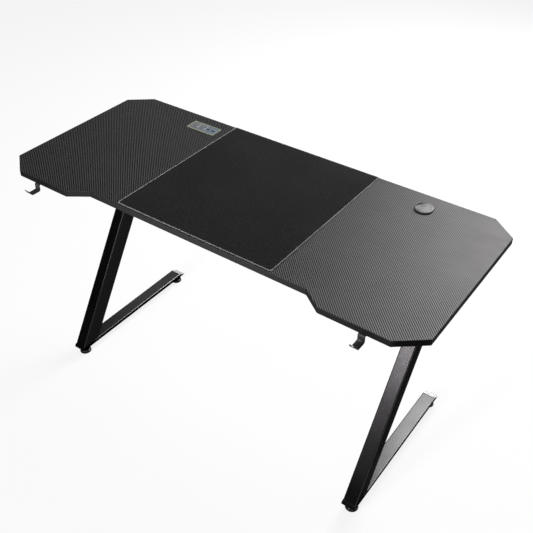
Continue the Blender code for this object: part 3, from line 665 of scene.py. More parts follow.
def smoothed(profile, radii, steps=5):
    # an open profile with its corners rounded: the same arcs as in roundLoop, ends kept
    profile = np.asarray(profile, float)
    corners = roundLoop(profile, np.asarray(radii, float), 0.0, steps)
    inner = corners.reshape(-1, steps, 2)[1:-1].reshape(-1, 2)
    return np.concatenate([profile[:1], inner, profile[-1:]])


top = {
    "cornerAlong": 0.0725,
    "cornerAcross": 0.0587,
    "recessDepth": 0.0398,
    "recessMouth": 0.8606,
    "recessBack": 0.7474,
    "cornerRadius": 0.004,
    "bandThickness": 0.00142,
    "edgeRadius": 0.0011,
}


def topCorners():
    low, high = nodeBox("edge_band")
    mouth, back = top["recessMouth"] / 2, top["recessBack"] / 2
    along, across = top["cornerAlong"], top["cornerAcross"]
    right = [(back, low[1] + top["recessDepth"]), (mouth, low[1]), (high[0] - along, low[1]),
             (high[0], low[1] + across), (high[0], high[1] - across),
             (high[0] - along, high[1])]
    left = [(-x, y) for x, y in reversed(right)]
    return right + left


def makeBand():
    # the band's cross-section, given as (inset, height), carried along the rounded outline
    low, high = nodeBox("edge_band")
    radius, inner = top["edgeRadius"], top["bandThickness"]
    bottom = arcPoints((radius, low[2] + radius), radius, 270, 180, 5)
    upper = arcPoints((radius, high[2] - radius), radius, 180, 90, 5)
    section = np.concatenate([[(inner, low[2])], bottom, upper, [(inner, high[2])]])
    corners = topCorners()
    loops = [roundLoop(corners, top["cornerRadius"], inset) for inset, _ in section]
    grid = np.stack([raised(loop, height) for loop, (_, height) in zip(loops, section)])
    shell = makeShell(grid, closeRows=True, uvRows=lengthAlong(closed(section)),
                      uvColumns=lengthAlong(closed(loops[len(bottom) + 1])))
    addPiece("edgeBand", [shell], carbonBand, ["edge_band"], uvName="alongEdge")


makeBand()
repaint("carbon_top_sheet", carbonTop)
repaint("desktop_board", boardCore)
print("top made")


upward = np.array([0, 0, 1.0])
mat = {
    "frontCorner": 0.009,
    "rearCorner": 0.002,
    "edge": 0.0008,
    "hem": 0.0030,            # width of the underside's border
    "border": (0.0018, 0.0034, 0.0044, 0.0065),   # rings on top, from the edge inwards
    "middle": (0.97, 0.93, 0.85, 0.7, 0.45, 0.2, 0.04),   # rings further in, as shares
    "calm": 0.8,              # share where the waves have died away
    "points": 420,            # round one ring
    "pucker": 0.00010,        # height of the waves that the stitching pulls into the border
    "puckerLength": 0.018,
    "stitchPitch": 0.0016,
    "stitchReach": 0.0034,    # from the mat's edge inwards
    "threadRadius": 0.00030,
}


def matCorners():
    low, high = nodeBox("desk_mat")
    corners = [(low[0], low[1]), (high[0], low[1]), (high[0], high[1]), (low[0], high[1])]
    return corners, [mat["frontCorner"], mat["frontCorner"], mat["rearCorner"], mat["rearCorner"]]


def evenLoop(corners, radii, inset, count):
    # the rounded outline cut into equal steps: points, directions inwards and ahead, the
    # length up to each point and the whole length
    ring = closed(roundLoop(corners, radii, 0.0, 12))
    length = lengthAlong(ring)
    where = np.linspace(0, length[-1], count, endpoint=False)
    point = pointsAlong(ring, length, where)
    ahead = unit(np.roll(point, -1, 0) - np.roll(point, 1, 0))
    return point + leftOf(ahead) * inset, leftOf(ahead), ahead, where, length[-1]


def makeMat():
    # rings that follow the outline: up round the edge, then inwards over the top, where the
    # height has waves along the border, sin(2 pi s / length), that die away towards the middle
    low, high = nodeBox("desk_mat")
    corners, radii = matCorners()
    edge = mat["edge"]
    side = arcPoints((edge, low[2] + edge), edge, 270, 180, 4)
    rim = arcPoints((edge, high[2] - edge), edge, 180, 90, 4)
    insets = [(mat["hem"], low[2]), *side, *rim, *((inset, high[2]) for inset in mat["border"])]
    rings = []
    for inset, height in insets:
        point, _, _, where, whole = evenLoop(corners, radii, inset, mat["points"])
        waves = round(whole / mat["puckerLength"])
        lift = mat["pucker"] * np.sin(2 * math.pi * waves * where / whole)
        lift = lift if height > low[2] + edge else 0 * lift
        rings.append(np.column_stack([point, height + lift]))
    border, centre = rings[-1], nodeMiddle("desk_mat")[:2]
    for share in mat["middle"]:
        flat = centre + (border[:, :2] - centre) * share
        lift = (border[:, 2] - high[2]) * max(0.0, (share - mat["calm"]) / (1 - mat["calm"]))
        rings.append(np.column_stack([flat, high[2] + lift]))
    return addPiece("deskMat", [makeShell(np.stack(rings))], blackCloth, ["desk_mat"],
                    sharp=60, flats=False)


def makeStitches():
    # overlock stitches: each is a thread on an arch that climbs from under the mat's edge over
    # its rim and slants inwards; ring points are centre + radius (cos a across + sin a up)
    low, high = nodeBox("desk_mat")
    corners, radii = matCorners()
    count = int(evenLoop(corners, radii, 0, 64)[-1] / mat["stitchPitch"])
    point, inward, ahead, _, whole = evenLoop(corners, radii, 0, count)
    point, inward, ahead = (raised(values, 0)[:, None] for values in (point, inward, ahead))
    reach, pitch = mat["stitchReach"], whole / count
    # path of one thread: inset from the edge, height, slide along the edge
    path = np.array([(0.0004, low[2] + 0.0002, 0.00), (-0.0002, low[2] + 0.0009, 0.08),
                     (0.0001, high[2] - 0.0001, 0.20), (0.0012, high[2] + 0.0002, 0.42),
                     (0.6 * reach, high[2] + 0.0002, 0.66), (reach, high[2] - 0.0002, 0.95)])
    centre = point + inward * path[:, :1] + ahead * path[:, 2:] * pitch + upward * path[:, 1:2]
    tangent = unit(np.gradient(centre, axis=1))
    across = unit(ahead - tangent * (ahead * tangent).sum(2, keepdims=True))
    up = np.cross(tangent, across)
    steps, sides = len(path), 5
    angle = fullTurn(sides)[:, None]
    girth = mat["threadRadius"] * np.array([0.8, 1, 1, 1.05, 1, 0.7])[:, None, None]
    ring = centre[:, :, None] + girth * (np.cos(angle) * across[:, :, None]
                                         + np.sin(angle) * up[:, :, None])
    quads, cornerRows, cornerColumns = gridFaces(steps, sides)
    first = steps * sides * np.arange(count)[:, None, None]
    faces = (quads + first).reshape(-1, 4)
    cap = np.stack([np.arange(sides)[::-1], np.arange(sides) + (steps - 1) * sides])
    caps = (cap + first).reshape(-1, sides)
    uv = np.stack([cornerRows / steps, cornerColumns / sides], -1)
    uv = np.broadcast_to(uv[None], (count,) + uv.shape).reshape(-1, 2)
    shell = {"points": ring.reshape(-1, 3), "groups": [faces, caps], "uv": uv}
    return addPiece("matStitches", [shell], greyThread, (), uvName="alongThread",
                    sharp=80, flats=False)


deskMat = makeMat()
matStitches = makeStitches()
print("mat made")


sideFrame = {
    "lean": math.radians(32.11),
    "toeSlope": math.radians(27.5),
    "barCorner": 0.0030,
    "postCorner": 0.0032,
    "plate": 0.0015,          # thickness of the end plates
    "softEdge": 0.0004,
    "beamPast": 0.0002,       # how far a crossbeam is drawn past its solid, towards its plates
    "heelRound": 0.0005,
    "heelFuller": 0.0040,     # how much lower the front corner of a foot bar is dressed
    "seam": 0.00025,          # groove between a tube and its end plate
    "brightRim": 0.0004,      # dark border round the bright faces of painted reflection on the rear end plates
    "bead": 0.0011,           # radius of the welds
    "beadInset": 0.0003,
    "beadRipple": 0.0019,
    "beadFade": 0.006,        # length over which a weld dies away
}
postAlong = np.array([0, math.sin(sideFrame["lean"]), math.cos(sideFrame["lean"])])
postAcross = np.array([0, postAlong[2], -postAlong[1]])


def barEnds(name):
    # the slanted planes that close a bar in front and behind, each as a point and its outward
    # direction, and the height of the corner where two of them meet
    front, rear = nodeBox(name + "_plate_front"), nodeBox(name + "_plate_rear")
    if name.startswith("top"):
        return ([((0, front[0][1], front[1][2]), -postAlong)],
                [((0, rear[1][1], rear[1][2]), postAcross)], None)
    post = nodeBox(name.replace("foot_bar", "post"))[0]
    fuller = sideFrame["heelFuller"]
    heel = post[2] - (post[1] - front[0][1]) / math.tan(sideFrame["lean"]) - fuller
    heelY = front[0][1] - fuller * math.tan(sideFrame["lean"])
    toe = np.array([0, math.sin(sideFrame["toeSlope"]), math.cos(sideFrame["toeSlope"])])
    return ([((0, post[1], post[2]), -postAcross), ((0, heelY, heel), -postAlong)],
            [((0, rear[1][1], rear[0][2]), toe)], heel)


def barRow(name, planes, heel, depth, inset):
    # the bar's rounded outline in x and z, from the right half of its underside round to the
    # left half, where the planes cut it at a depth below their faces: y follows from
    # normal . (point - place) = -depth, and where two planes meet from their smooth maximum
    low, high = nodeBox(name)
    centre = nodeMiddle(name)
    loop = roundLoop(box2d(high[0] - low[0], high[2] - low[2]), sideFrame["barCorner"], inset)
    loop = np.roll(loop, -6, 0)
    if heel is not None:
        step = sideFrame["heelRound"]
        height = heel - centre[2] + np.array([-step, 0.0, step])
        if len(planes) > 1:
            height = height + depth * (postAlong[2] - postAlong[1])
        right = np.column_stack([np.full(3, loop[5, 0]), height])
        left = right[::-1] * np.array([-1.0, 1.0])
        loop = np.concatenate([loop[:6], right, loop[6:18], left, loop[18:]])
    x, z = centre[0] + loop[:, 0], centre[2] + loop[:, 1]
    cuts = [place[1] - (depth + normal[2] * (z - place[2])) / normal[1]
            for place, normal in planes]
    y = cuts[0]
    if len(cuts) > 1:
        y = (cuts[0] + cuts[1] + np.hypot(cuts[0] - cuts[1], sideFrame["heelRound"])) / 2
    return np.stack([x, y, z], -1)


def makeBar(name):
    # a tube and its two end plates, each a stack of rows of (depth, inset); the rear plate of a
    # foot bar carries a bright face of painted reflection inside a thin dark border
    front, rear, heel = barEnds(name)
    soft, seam, plate = sideFrame["softEdge"], sideFrame["seam"], sideFrame["plate"]
    inner = [(plate + 0.0001, seam + 0.0002), (plate + 0.0004, 0.0)]
    tube = [barRow(name, front, heel, *row) for row in inner]
    tube += [barRow(name, rear, heel, *row) for row in inner[::-1]]
    paint = footBarPaint[name.split("_")[-1]] if name.startswith("foot") else blackPaint
    addPiece(name + "Tube", [makeShell(np.stack(tube), mirrored=True)], paint, [name])
    border = [(0.0, soft), (soft * 0.3, soft * 0.3), (soft, 0.0), (plate - seam, 0.0),
              (plate, seam)]
    for label, planes, colour in (("front", front, blackPaint), ("rear", rear, paint)):
        grid = np.stack([barRow(name, planes, heel, *row) for row in border])
        addPiece(f"{name}Plate_{label}", [makeShell(grid, mirrored=True)], colour,
                 [f"{name}_plate_{label}"])
    if name.startswith("foot"):
        # the bright face of painted reflection on the rear plate
        rim = sideFrame["brightRim"]
        rows = [(0.0003, rim), (-0.00003, rim), (-0.00006, rim + 0.0001)]
        grid = np.stack([barRow(name, rear, heel, *row) for row in rows])
        addPiece(name + "Face_rear", [makeShell(grid, mirrored=True)], paintedReflectionPlate, ())


def postOutline(low, high, inset, height):
    # the post's rounded section, a across and b along the depth, slid along the post's line
    # until it meets the level plane: t = (height - z of the section's point) / cos(lean)
    lean = sideFrame["lean"]
    depth = (high[1] - low[1] - (high[2] - low[2]) * math.tan(lean)) * math.cos(lean)
    loop = roundLoop(box2d(high[0] - low[0], depth), sideFrame["postCorner"], inset, 7)
    foot = np.array([(low[0] + high[0]) / 2, low[1] + depth / math.cos(lean) / 2, low[2]])
    point = foot + loop[:, :1] * np.array([1.0, 0, 0]) + loop[:, 1:] * postAcross
    slide = (height - point[:, 2]) / postAlong[2]
    return point + slide[:, None] * postAlong


def weldBead(outline):
    # a round bead along the joint, from the post's front right corner round its back to the
    # front left one: its radius swells in ripples and dies away at both ends
    path = np.vstack([outline[13:], outline[:1]])
    length = lengthAlong(path)
    where = np.linspace(0, length[-1], 320)
    point = pointsAlong(path, length, where)
    outward = -raised(leftOf(unit(np.gradient(point, axis=0))), 0)
    phase = 2 * math.pi * where / sideFrame["beadRipple"]
    ends = np.clip(np.minimum(where, length[-1] - where) / sideFrame["beadFade"], 0.2, 1)
    radius = sideFrame["bead"] * (1 + 0.10 * np.sin(phase) + 0.05 * np.sin(2.3 * phase)) * ends
    angle, girth = fullTurn(10)[:, None], radius[:, None, None]
    return (point[:, None] + girth * np.cos(angle) * outward[:, None]
            + girth * np.sin(angle) * upward)


def makePost(side):
    name = "post_" + side
    low, high = nodeBox(name)
    grid = np.stack([postOutline(low, high, 0.0, height)
                     for height in (low[2] - 0.0001, high[2] + 0.0001)])
    shell = makeShell(grid, uvRows=np.arange(3.0), uvColumns=np.arange(grid.shape[1] + 1.0))
    addPiece(name + "_tube", [shell], postPaint, [name], uvName="roundPost")
    for label, height in (("foot", low[2]), ("head", high[2])):
        shell = makeShell(weldBead(postOutline(low, high, sideFrame["beadInset"], height)))
        addPiece(f"weld_{label}_{side}", [shell], blackPaint, (), sharp=80)


def makeCrossbeam(label):
    # a level rounded tube between the two side frames, its section drawn in y and z
    name = "crossbeam_" + label
    low, high = nodeBox(name)
    centre = nodeMiddle(name)
    rows = []
    soft, past = sideFrame["softEdge"], sideFrame["beamPast"]
    for x, inset in ((low[0] - past, soft + past), (low[0] + soft, 0), (high[0] - soft, 0),
                     (high[0] + past, soft + past)):
        loop = roundLoop(box2d(high[1] - low[1], high[2] - low[2]), sideFrame["barCorner"], inset)
        rows.append(np.roll(raised(loop, x, centre[1:]), 1, 1))
    addPiece(name + "_tube", [makeShell(np.stack(rows))], blackPaint, [name])


for side in sideNames:
    makeBar("foot_bar_" + side)
    makeBar("top_bar_" + side)
    makePost(side)
for label in endNames:
    makeCrossbeam(label)
    for side in sideNames:
        repaint(f"beam_plate_{label}_{side}", blackPaint)
print("side frames made")


foot = {
    "hub": 0.0092,            # radius of the pad's raised middle
    "bore": 0.0043,
    "boreDepth": 0.005,
    "hubStep": 0.0006,        # drop from the hub to the pad's level ring
    "slant": 0.0030,          # width of the slanted ring
    "padFoot": 0.0006,        # floor to the underside of the pad
    "soleFlare": 0.0010,      # how far the sole reaches past the pad
    "threadPitch": 0.00125,
    "threadDepth": 0.0005,
    "threadRows": 170,
    "threadEnd": 0.0009,      # chamfer of the stud's ends
    "knurls": 30,
    "knurlDepth": 0.035,
    "gripTop": 0.0050,        # height of the knurled part
    "collarStep": 0.0006,
}


def makeFoot(label):
    body = "foot_" + label
    low, high = nodeBox("foot_pad_" + label)
    centre = np.append(nodeMiddle("foot_pad_" + label)[:2], 0.0)
    radius, height = (high[0] - low[0]) / 2, high[2]
    hub, bore, depth = foot["hub"], foot["bore"], foot["boreDepth"]
    ring, slant, under = height - foot["hubStep"], foot["slant"], foot["padFoot"]
    profile = smoothed([(bore, height - depth), (bore, height), (hub - 0.0004, height),
                        (hub, ring), (radius - slant, ring), (radius, ring - slant),
                        (radius, 0.0009), (radius - 0.0005, under)],
                       [0, 0.0003, 0.0003, 0.0003, 0.0006, 0.0008, 0.0003, 0])
    profile = np.concatenate([[(0.0002, height - depth)], profile, [(0.0002, under)]])
    addPiece("pad_" + label, [turnedShell(profile, centre, 72)], padPlastic,
             ["foot_pad_" + label], body)
    # the sole is a shallow tray that grips the lower edge of the pad
    flare = foot["soleFlare"]
    sole = smoothed([(0.0002, 0.0005), (radius + 0.0001, 0.0005), (radius + 0.0001, 0.0018),
                     (radius + flare - 0.0003, 0.0018), (radius + flare, 0.0), (0.0002, 0.0)],
                    [0, 0.0001, 0.0001, 0.0002, 0.0003, 0])
    addPiece("sole_" + label, [turnedShell(sole, centre, 48)], rubber, (), body)

    low, high = nodeBox("foot_stud_" + label)
    outer, rows, end = (high[0] - low[0]) / 2, foot["threadRows"], foot["threadEnd"]
    heights = np.linspace(low[2] + 0.0004, high[2] - 0.0006, rows)
    profile = np.concatenate([[(outer - end, low[2])],
                              np.column_stack([np.full(rows, outer), heights]),
                              [(outer - end, high[2])]])

    def thread(angle, height):
        # the radius falls and rises once each pitch, and the groove climbs with the angle
        turn = (height / foot["threadPitch"] - angle / (2 * math.pi)) % 1
        return 1 - foot["threadDepth"] / outer * (1 - np.abs(2 * turn - 1))
    addPiece("stud_" + label, [turnedShell(profile, centre, 30, thread)], zincSteel,
             ["foot_stud_" + label], body, sharp=50)

    low, high = nodeBox("foot_collar_" + label)
    outer, step, grip = (high[0] - low[0]) / 2, foot["collarStep"], low[2] + foot["gripTop"]
    profile = [(bore, low[2]), (outer - step, low[2]), (outer, low[2] + step),
               (outer, grip - 0.0005), (outer - step, grip), (outer - step, high[2] - 0.0016),
               (outer, high[2] - 0.0012), (outer, high[2] + 0.0001), (bore, high[2] + 0.0001)]

    def knurl(angle, height):
        # grips round the lower part only: the radius dips between the ridges
        band = (height > low[2] + 0.0003) & (height < grip - 0.0002)
        ridge = 0.5 - 0.5 * np.cos(foot["knurls"] * angle)
        return 1 - foot["knurlDepth"] * ridge * band
    addPiece("collar_" + label, [turnedShell(profile, centre, 240, knurl, closeRows=True)],
             blackSteel, ["foot_collar_" + label], sharp=40)


for end in endNames:
    for side in sideNames:
        makeFoot(f"{end}_{side}")
print("feet made")


hook = {
    "thickness": 0.0025,
    "bend": 0.0042,
    "floorLength": 0.0300,
    "lipOut": 0.0115,
    "lipUp": 0.0160,
    "sideRadius": 0.0007,
    "tipCorner": 0.0040,
    "tipSteps": 9,
}


def makeHook(side):
    # a strip's rounded section carried along a path of straights and arcs in y and z:
    # point = path + a across + b normal to the path; near the tip the width follows a
    # quarter circle, so that its corners are round
    name = "headset_hook_" + side
    low, high = nodeBox(name)
    half = hook["thickness"] / 2
    width = high[0] - low[0]
    plateZ = high[2] - half
    floorZ = low[2] + half
    lip = np.array([-hook["lipOut"], hook["lipUp"]])
    tipHalf = half * hook["lipUp"] / np.linalg.norm(lip)
    lipFoot = np.array([low[1] + tipHalf + hook["lipOut"], floorZ])
    dropY = lipFoot[0] + hook["floorLength"] - half
    corners = [(high[1], plateZ), (dropY, plateZ), (dropY, floorZ), lipFoot, lipFoot + lip]
    path = smoothed(corners, [0, hook["bend"], hook["bend"], hook["bend"] + 0.001, 0], 9)
    tail = unit(path[-1] - path[-2])
    corner, count = hook["tipCorner"], hook["tipSteps"]
    steps = np.linspace(0, 1, count)[:, None]
    start = path[-1] - tail * corner
    path = np.vstack([path[:-1], start + tail * corner * np.sin(steps * math.pi / 2)])
    normal = leftOf(unit(np.gradient(path, axis=0)))
    narrow = np.zeros(len(path))
    narrow[-count:] = corner * (1 - np.cos(steps[:, 0] * math.pi / 2))
    middle = nodeMiddle(name)[0]
    rows = []
    for point, across, trimmed in zip(path, normal, narrow):
        loop = roundLoop(box2d(width - 2 * trimmed, 2 * half), hook["sideRadius"], 0.0, 5)
        rows.append(np.column_stack([middle + loop[:, 0], point + loop[:, 1:] * across]))
    addPiece("hookStrip_" + side, [makeShell(np.stack(rows))], hookPaint[side], [name],
             sharp=40)


for side in sideNames:
    makeHook(side)
print("hooks made")


fastener = {
    "sides": 40,
    "boltHead": 0.0033,       # height of a bolt's head
    "screwHead": 0.0024,
    "stem": 0.006,
    "socketDepth": 0.0017,
    "socketAcross": 0.0028,
    "crossDepth": 0.0015,
    "crossWidth": 0.0009,
    "crossReach": 0.0024,
}


def headShell(place, axis, radius, crown, drive):
    # a domed head seen as a disc of (distance, angle): its height is an ellipse of the distance,
    # less the drive's recess; a skirt closes it, and it is turned to look along the axis
    share = np.concatenate([np.linspace(0.02, 0.94, 22), [0.97, 0.99, 1.0]])[:, None]
    angle = fullTurn(fastener["sides"])[None]
    height = crown * (0.45 + 0.55 * np.sqrt(1 - 0.96 * share ** 2))
    height = np.minimum(height, crown * 0.97) - drive(share * radius, angle)
    grid = np.concatenate([polar(share * radius, angle), height[:, :, None]], -1)
    skirt = raised(polar(radius, angle[0]), 0)[None]
    stem = skirt * np.array([0.5, 0.5, 1])
    grid = np.concatenate([grid, skirt, stem, stem - fastener["stem"] * upward])
    side = unit(np.cross(axis, [0.0, 1.0, 0.0]))
    frameAxes = np.stack([side, np.cross(axis, side), axis])
    return makeShell((grid[..., None] * frameAxes).sum(-2) + np.asarray(place, float))


def hexDrive(distance, angle):
    # deep inside a hexagon: the distance to its sides is distance cos(angle in a sixth)
    sixth = (angle % (math.pi / 3)) - math.pi / 6
    inside = np.clip((fastener["socketAcross"] - distance * np.cos(sixth)) / 0.0002, 0, 1)
    return fastener["socketDepth"] * inside


def crossDrive(distance, angle):
    # two crossed slots that grow shallow outwards
    x, y = np.abs(distance * np.cos(angle)), np.abs(distance * np.sin(angle))
    slot = np.clip((fastener["crossWidth"] / 2 - np.minimum(x, y)) / 0.0002, 0, 1)
    return fastener["crossDepth"] * slot * np.clip(1 - distance / fastener["crossReach"], 0, 1)


def makeBolt(label, side, number):
    name = f"beam_bolt_{label}_{side}_{number}"
    low, high = nodeBox(name)
    sign = -1 if side == "left" else 1
    crown = fastener["boltHead"]
    seat = (low[0] if sign > 0 else high[0]) + sign * crown
    shell = headShell((seat, *nodeMiddle(name)[1:]), (-sign, 0, 0), (high[1] - low[1]) / 2,
                      crown, hexDrive)
    addPiece(f"bolt_{label}_{side}_{number}", [shell], blackSteel, [name])


def makeScrew(name):
    low, high = nodeBox(name)
    crown = fastener["screwHead"]
    shell = headShell((*nodeMiddle(name)[:2], low[2] + crown), (0, 0, -1),
                      (high[0] - low[0]) / 2, crown, crossDrive)
    addPiece(name + "_head", [shell], blackSteel, [name])


for label in endNames:
    for side in sideNames:
        for number in "12":
            makeBolt(label, side, number)
for side in sideNames:
    for label in endNames:
        makeScrew(f"board_screw_{label}_{side}")
for side in sideNames:
    for number in "12":
        makeScrew(f"hook_screw_{side}_{number}")
print("fasteners made")


outlet = {
    "tube": 0.0232,           # outer radius of the sleeve
    "bore": 0.0215,
    "flangeRound": 0.0022,
    "lidRadius": 0.0238,
    "lidGap": 0.0003,
    "notchRadius": 0.0255,
    "notchCentre": (-0.031, -0.001),
    "groove": (0.0023, 0.0025, 0.0031, 0.0033),   # round the lid's top, in from its outline
    "grooveDepth": 0.0005,
    "softEdge": 0.0004,
    "shutterReach": 0.0212,
    "shutterHub": 0.0040,
    "shutterFan": (115, 245),     # degrees
    "shutterEdge": 0.0003,
    "pinRadius": 0.0012,
    "pinHead": 0.0030,
    "pinHeadHeight": 0.0015,
    "sides": 96,
}


def makeSleeve():
    # a flanged ring: its closed profile of (radius, height) turned about the outlet's middle
    low, high = nodeBox("grommet_sleeve")
    rim, seat = (high[0] - low[0]) / 2, outlet["lidRadius"] + outlet["lidGap"]
    tube, bore = outlet["tube"], outlet["bore"]
    deck = nodeBox("edge_band")[1][2] + 0.0001
    ledge = nodeBox("grommet_lid")[0][2] - outlet["lidGap"]
    profile = roundLoop([(rim, deck), (rim, high[2]), (seat, high[2]), (seat, ledge),
                         (bore, ledge), (bore, low[2]), (tube, low[2]), (tube, deck)],
                        [0.0002, outlet["flangeRound"], 0.0003, 0.0001, 0.0004, 0.0004, 0.0004,
                         0.0001])
    shell = turnedShell(profile, outletCentre, outlet["sides"], closeRows=True)
    addPiece("sleeve", [shell], sleevePlastic, ["grommet_sleeve"])


def lidLoop(inset):
    # the lid's outline: the arc of the rim outside the notch, then the notch's own arc; both
    # circles' crossing gives the angles, from the triangle of the two radii and their distance
    rim, notch = outlet["lidRadius"] - inset, outlet["notchRadius"] + inset
    away = math.hypot(*outlet["notchCentre"])
    facing = math.atan2(outlet["notchCentre"][1], outlet["notchCentre"][0])
    atRim = math.acos((rim ** 2 + away ** 2 - notch ** 2) / (2 * rim * away))
    atNotch = math.acos((notch ** 2 + away ** 2 - rim ** 2) / (2 * notch * away))
    rimArc = facing + np.linspace(atRim, 2 * math.pi - atRim, 72)
    notchArc = facing + math.pi + np.linspace(atNotch, -atNotch, 40)[1:-1]
    return np.concatenate([polar(rim, rimArc), polar(notch, notchArc) + outlet["notchCentre"]])


def makeLid():
    # the outline carried up in small steps: in at the lower edge, up the side, over the upper,
    # and down and up again for the groove
    low, high = nodeBox("grommet_lid")
    soft, upper = outlet["softEdge"], high[2]
    deep = upper - outlet["grooveDepth"]
    rows = [(soft, low[2]), (0.0, low[2] + soft), (0.0, upper - soft),
            (soft * 0.3, upper - soft * 0.3), (soft, upper)]
    rows += zip(outlet["groove"], (upper, deep, deep, upper))
    grid = [raised(lidLoop(inset), height, outletCentre) for inset, height in rows]
    addPiece("lid", [makeShell(np.stack(grid))], lidPlastic, ["grommet_lid"],
             "lid", sharp=40)


def makeShutter():
    # a fan from the hub to the bore: its outline carried up with soft edges
    low, high = nodeBox("grommet_shutter")
    fanFrom, fanTo = np.radians(outlet["shutterFan"])
    outer = np.linspace(fanFrom, fanTo, 60)
    inner = np.linspace(fanTo, fanFrom + 2 * math.pi, 30)
    edge = outlet["shutterEdge"]
    rows = []
    for inset, height in ((edge, low[2]), (0.0, low[2] + edge), (0.0, high[2] - edge),
                          (edge, high[2])):
        loop = np.concatenate([polar(outlet["shutterReach"] - inset, outer),
                               polar(outlet["shutterHub"] - inset, inner)])
        rows.append(raised(loop, height, outletCentre))
    addPiece("shutter", [makeShell(np.stack(rows))], lidPlastic, ["grommet_shutter"],
             "shutter", sharp=40)


def makePin():
    low, high = nodeBox("grommet_pin")
    headTop = low[2] + outlet["pinHeadHeight"]
    radius, head = outlet["pinRadius"], outlet["pinHead"]
    profile = smoothed([(0.0001, low[2]), (head, low[2]), (head, headTop), (radius, headTop),
                        (radius, high[2]), (0.0001, high[2])],
                       [0, 0.0007, 0.0003, 0.0001, 0.0002, 0])
    addPiece("pin", [turnedShell(profile, outletCentre, 32)], zincSteel, ["grommet_pin"],
             "lid")


outletCentre = np.append(nodeMiddle("grommet_sleeve")[:2], 0.0)
makeSleeve()
makeLid()
makeShutter()
makePin()
print("cable outlet made")


panel = {
    "rimWidth": 0.00275,
    "overlap": 0.0015,
    "wall": 0.0020,
    "corner": 0.0030,
    "softEdge": 0.0004,
    "sockets": (-0.034, -0.006),
    "socketFrame": (0.0245, 0.0290),
    "socketRim": 0.0003,      # how high the frames stand, and their rounded edge
    "socketRimWidth": 0.0012,
    "chargers": (0.0175, 0.0365),
    "tongue": (0.0104, 0.0020),
    "tongueOffset": 0.0008,   # towards the rear
    "tongueSink": 0.0008,
}


def panelLoop(centre, length, width, inset, height):
    # a level rounded rectangle whose corner shrinks with the inset
    corner = max(panel["corner"] - inset, 0.0008)
    return raised(roundLoop(box2d(length - 2 * inset, width - 2 * inset), corner), height, centre)


def makePanel():
    # the housing: rounded rectangles up its outside, over the rim and down into its hollow
    low, high = nodeBox("power_housing")
    faceLow, faceHigh = nodeBox("power_face")
    centre, (length, width, _) = nodeMiddle("power_housing"), high - low
    deck, seat = nodeBox("edge_band")[1][2] + 0.0002, faceLow[2] - 0.0003
    rim, box, wall, soft = (panel["rimWidth"], panel["overlap"], panel["wall"],
                            panel["softEdge"])
    rings = [(box + soft, low[2]), (box, low[2] + soft), (box, deck), (0.0, deck),
             (0.0, high[2] - soft), (soft * 0.3, high[2] - soft * 0.3), (soft, high[2]),
             (rim - soft, high[2]), (rim - soft * 0.3, high[2] - soft * 0.3),
             (rim, high[2] - soft), (rim, seat), (rim + wall, seat), (rim + wall, low[2] + wall)]
    grid = np.stack([panelLoop(centre, length, width, *ring) for ring in rings])
    addPiece("panelHousing", [makeShell(grid)], panelRim, ["power_housing"])

    # low frames round the two sockets, and the tongues inside the charging sockets
    plate, edge, wide = faceHigh[2], panel["socketRim"], panel["socketRimWidth"]
    rings = [(0.0, plate - 0.0002), (0.0, plate + 0.0001), (edge, plate + edge),
             (wide - edge, plate + edge), (wide, plate - 0.0002)]
    frames = []
    for x in panel["sockets"]:
        spot = (centre[0] + x, centre[1])
        grid = np.stack([panelLoop(spot, *panel["socketFrame"], *ring) for ring in rings])
        frames.append(makeShell(grid, closeRows=True))
    addPiece("socketFrames", frames, blackPlastic, ())
    sink = plate - panel["tongueSink"]
    rings = [(0.0, faceLow[2] - 0.004), (0.0, sink - 0.0002), (0.0002, sink)]
    tongues = []
    for x in panel["chargers"]:
        spot = (centre[0] + x, centre[1] + panel["tongueOffset"])
        tongues.append(makeShell(np.stack([panelLoop(spot, *panel["tongue"], *ring)
                                           for ring in rings])))
    addPiece("chargerTongues", tongues, panelFace, ())


makePanel()
repaint("power_face", panelFace)
print("power panel made")


stage = {
    "floorSize": 40.0,
    "floorColour": grey(0.42),
    "white": 0.84,            # share of plain white that the floor shows
    "ambient": 0.40,
}


def whiteRays(start):
    # 1 for what is seen directly, in a reflection or through something clear
    rays = start.node("LightPath")
    seen = rays + rays.output("Is Glossy Ray") + rays.output("Is Transmission Ray")
    return seen.math("MINIMUM", 1.0)


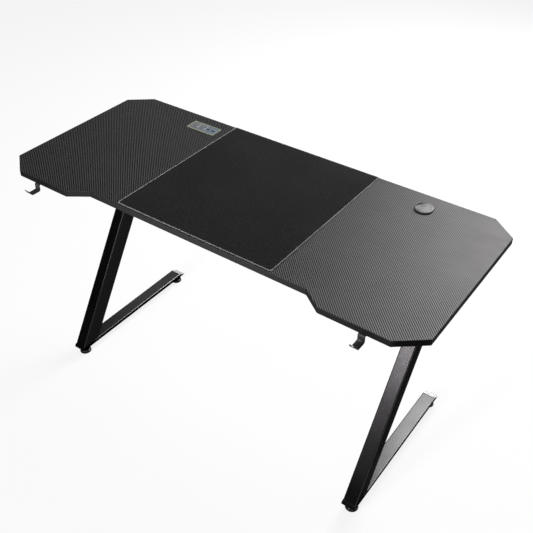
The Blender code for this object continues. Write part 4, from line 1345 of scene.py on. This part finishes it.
def makeStage():
    material = bpy.data.materials.new("floor_paint")
    start = startNodes(material)
    matt = start.node("BsdfDiffuse", {"Color": stage["floorColour"]})
    white = start.node("Emission", {"Color": grey(1), "Strength": 1.0})
    mixed = start.node("MixShader", {0: whiteRays(start) * stage["white"], 1: matt, 2: white})
    start.node("OutputMaterial", {"Surface": mixed})
    mesh = bpy.data.meshes.new("floor")
    size = stage["floorSize"]
    mesh.from_pydata([(x, y, 0) for x, y in box2d(size, size)], [], [(0, 1, 2, 3)])
    mesh.materials.append(material)
    addObject("floor", mesh)

    world = bpy.data.worlds.new("studio")
    start = startNodes(world)
    soft = start.node("Background", {"Color": grey(1), "Strength": stage["ambient"]})
    plain = start.node("Background", {"Color": grey(1), "Strength": 1.0})
    mixed = start.node("MixShader", {0: whiteRays(start), 1: soft, 2: plain})
    start.node("OutputWorld", {"Surface": mixed})
    bpy.context.scene.world = world


lamps = {
    # azimuth and elevation in degrees seen from the desk, distance, width, height, watts
    "rearSoftbox": (88, 32, 3.4, 1.24, 2.5, 315),
    "leftSoftbox": (138, 24, 3.1, 1.1, 0.7, 9),
    "rightStrip": (35, 30, 3.4, 2.0, 0.3, 30),
    "frontSoftbox": (-97, 17, 3.6, 0.46, 0.46, 172),
}
lampTarget = Vector((0, 0, 0.6))


def makeLamps():
    for name, (azimuth, elevation, distance, width, height, watts) in lamps.items():
        light = bpy.data.lights.new(name, "AREA")
        light.shape = "RECTANGLE"
        light.size, light.size_y, light.energy = width, height, watts
        lamp = addObject(name, light)
        turn, rise = math.radians(azimuth), math.radians(elevation)
        away = Vector((*polar(math.cos(rise), turn), math.sin(rise)))
        lamp.location = lampTarget + away * distance
        lamp.rotation_euler = away.to_track_quat("Z", "Y").to_euler()


view = {
    "place": (1.12615, -1.43702, 1.92690),
    "turn": (51.8383, 0.0285, 35.9085),
    "lens": 51.46,
    "sensor": 36.0,
}


def makeCamera():
    data = bpy.data.cameras.new("camera")
    data.lens, data.sensor_width = view["lens"], view["sensor"]
    camera = addObject("camera", data)
    camera.location = view["place"]
    camera.rotation_euler = [math.radians(angle) for angle in view["turn"]]
    bpy.context.scene.camera = camera
    bpy.context.scene.view_settings.view_transform = "Standard"


makeStage()
makeLamps()
makeCamera()
print("stage, lamps and camera made")
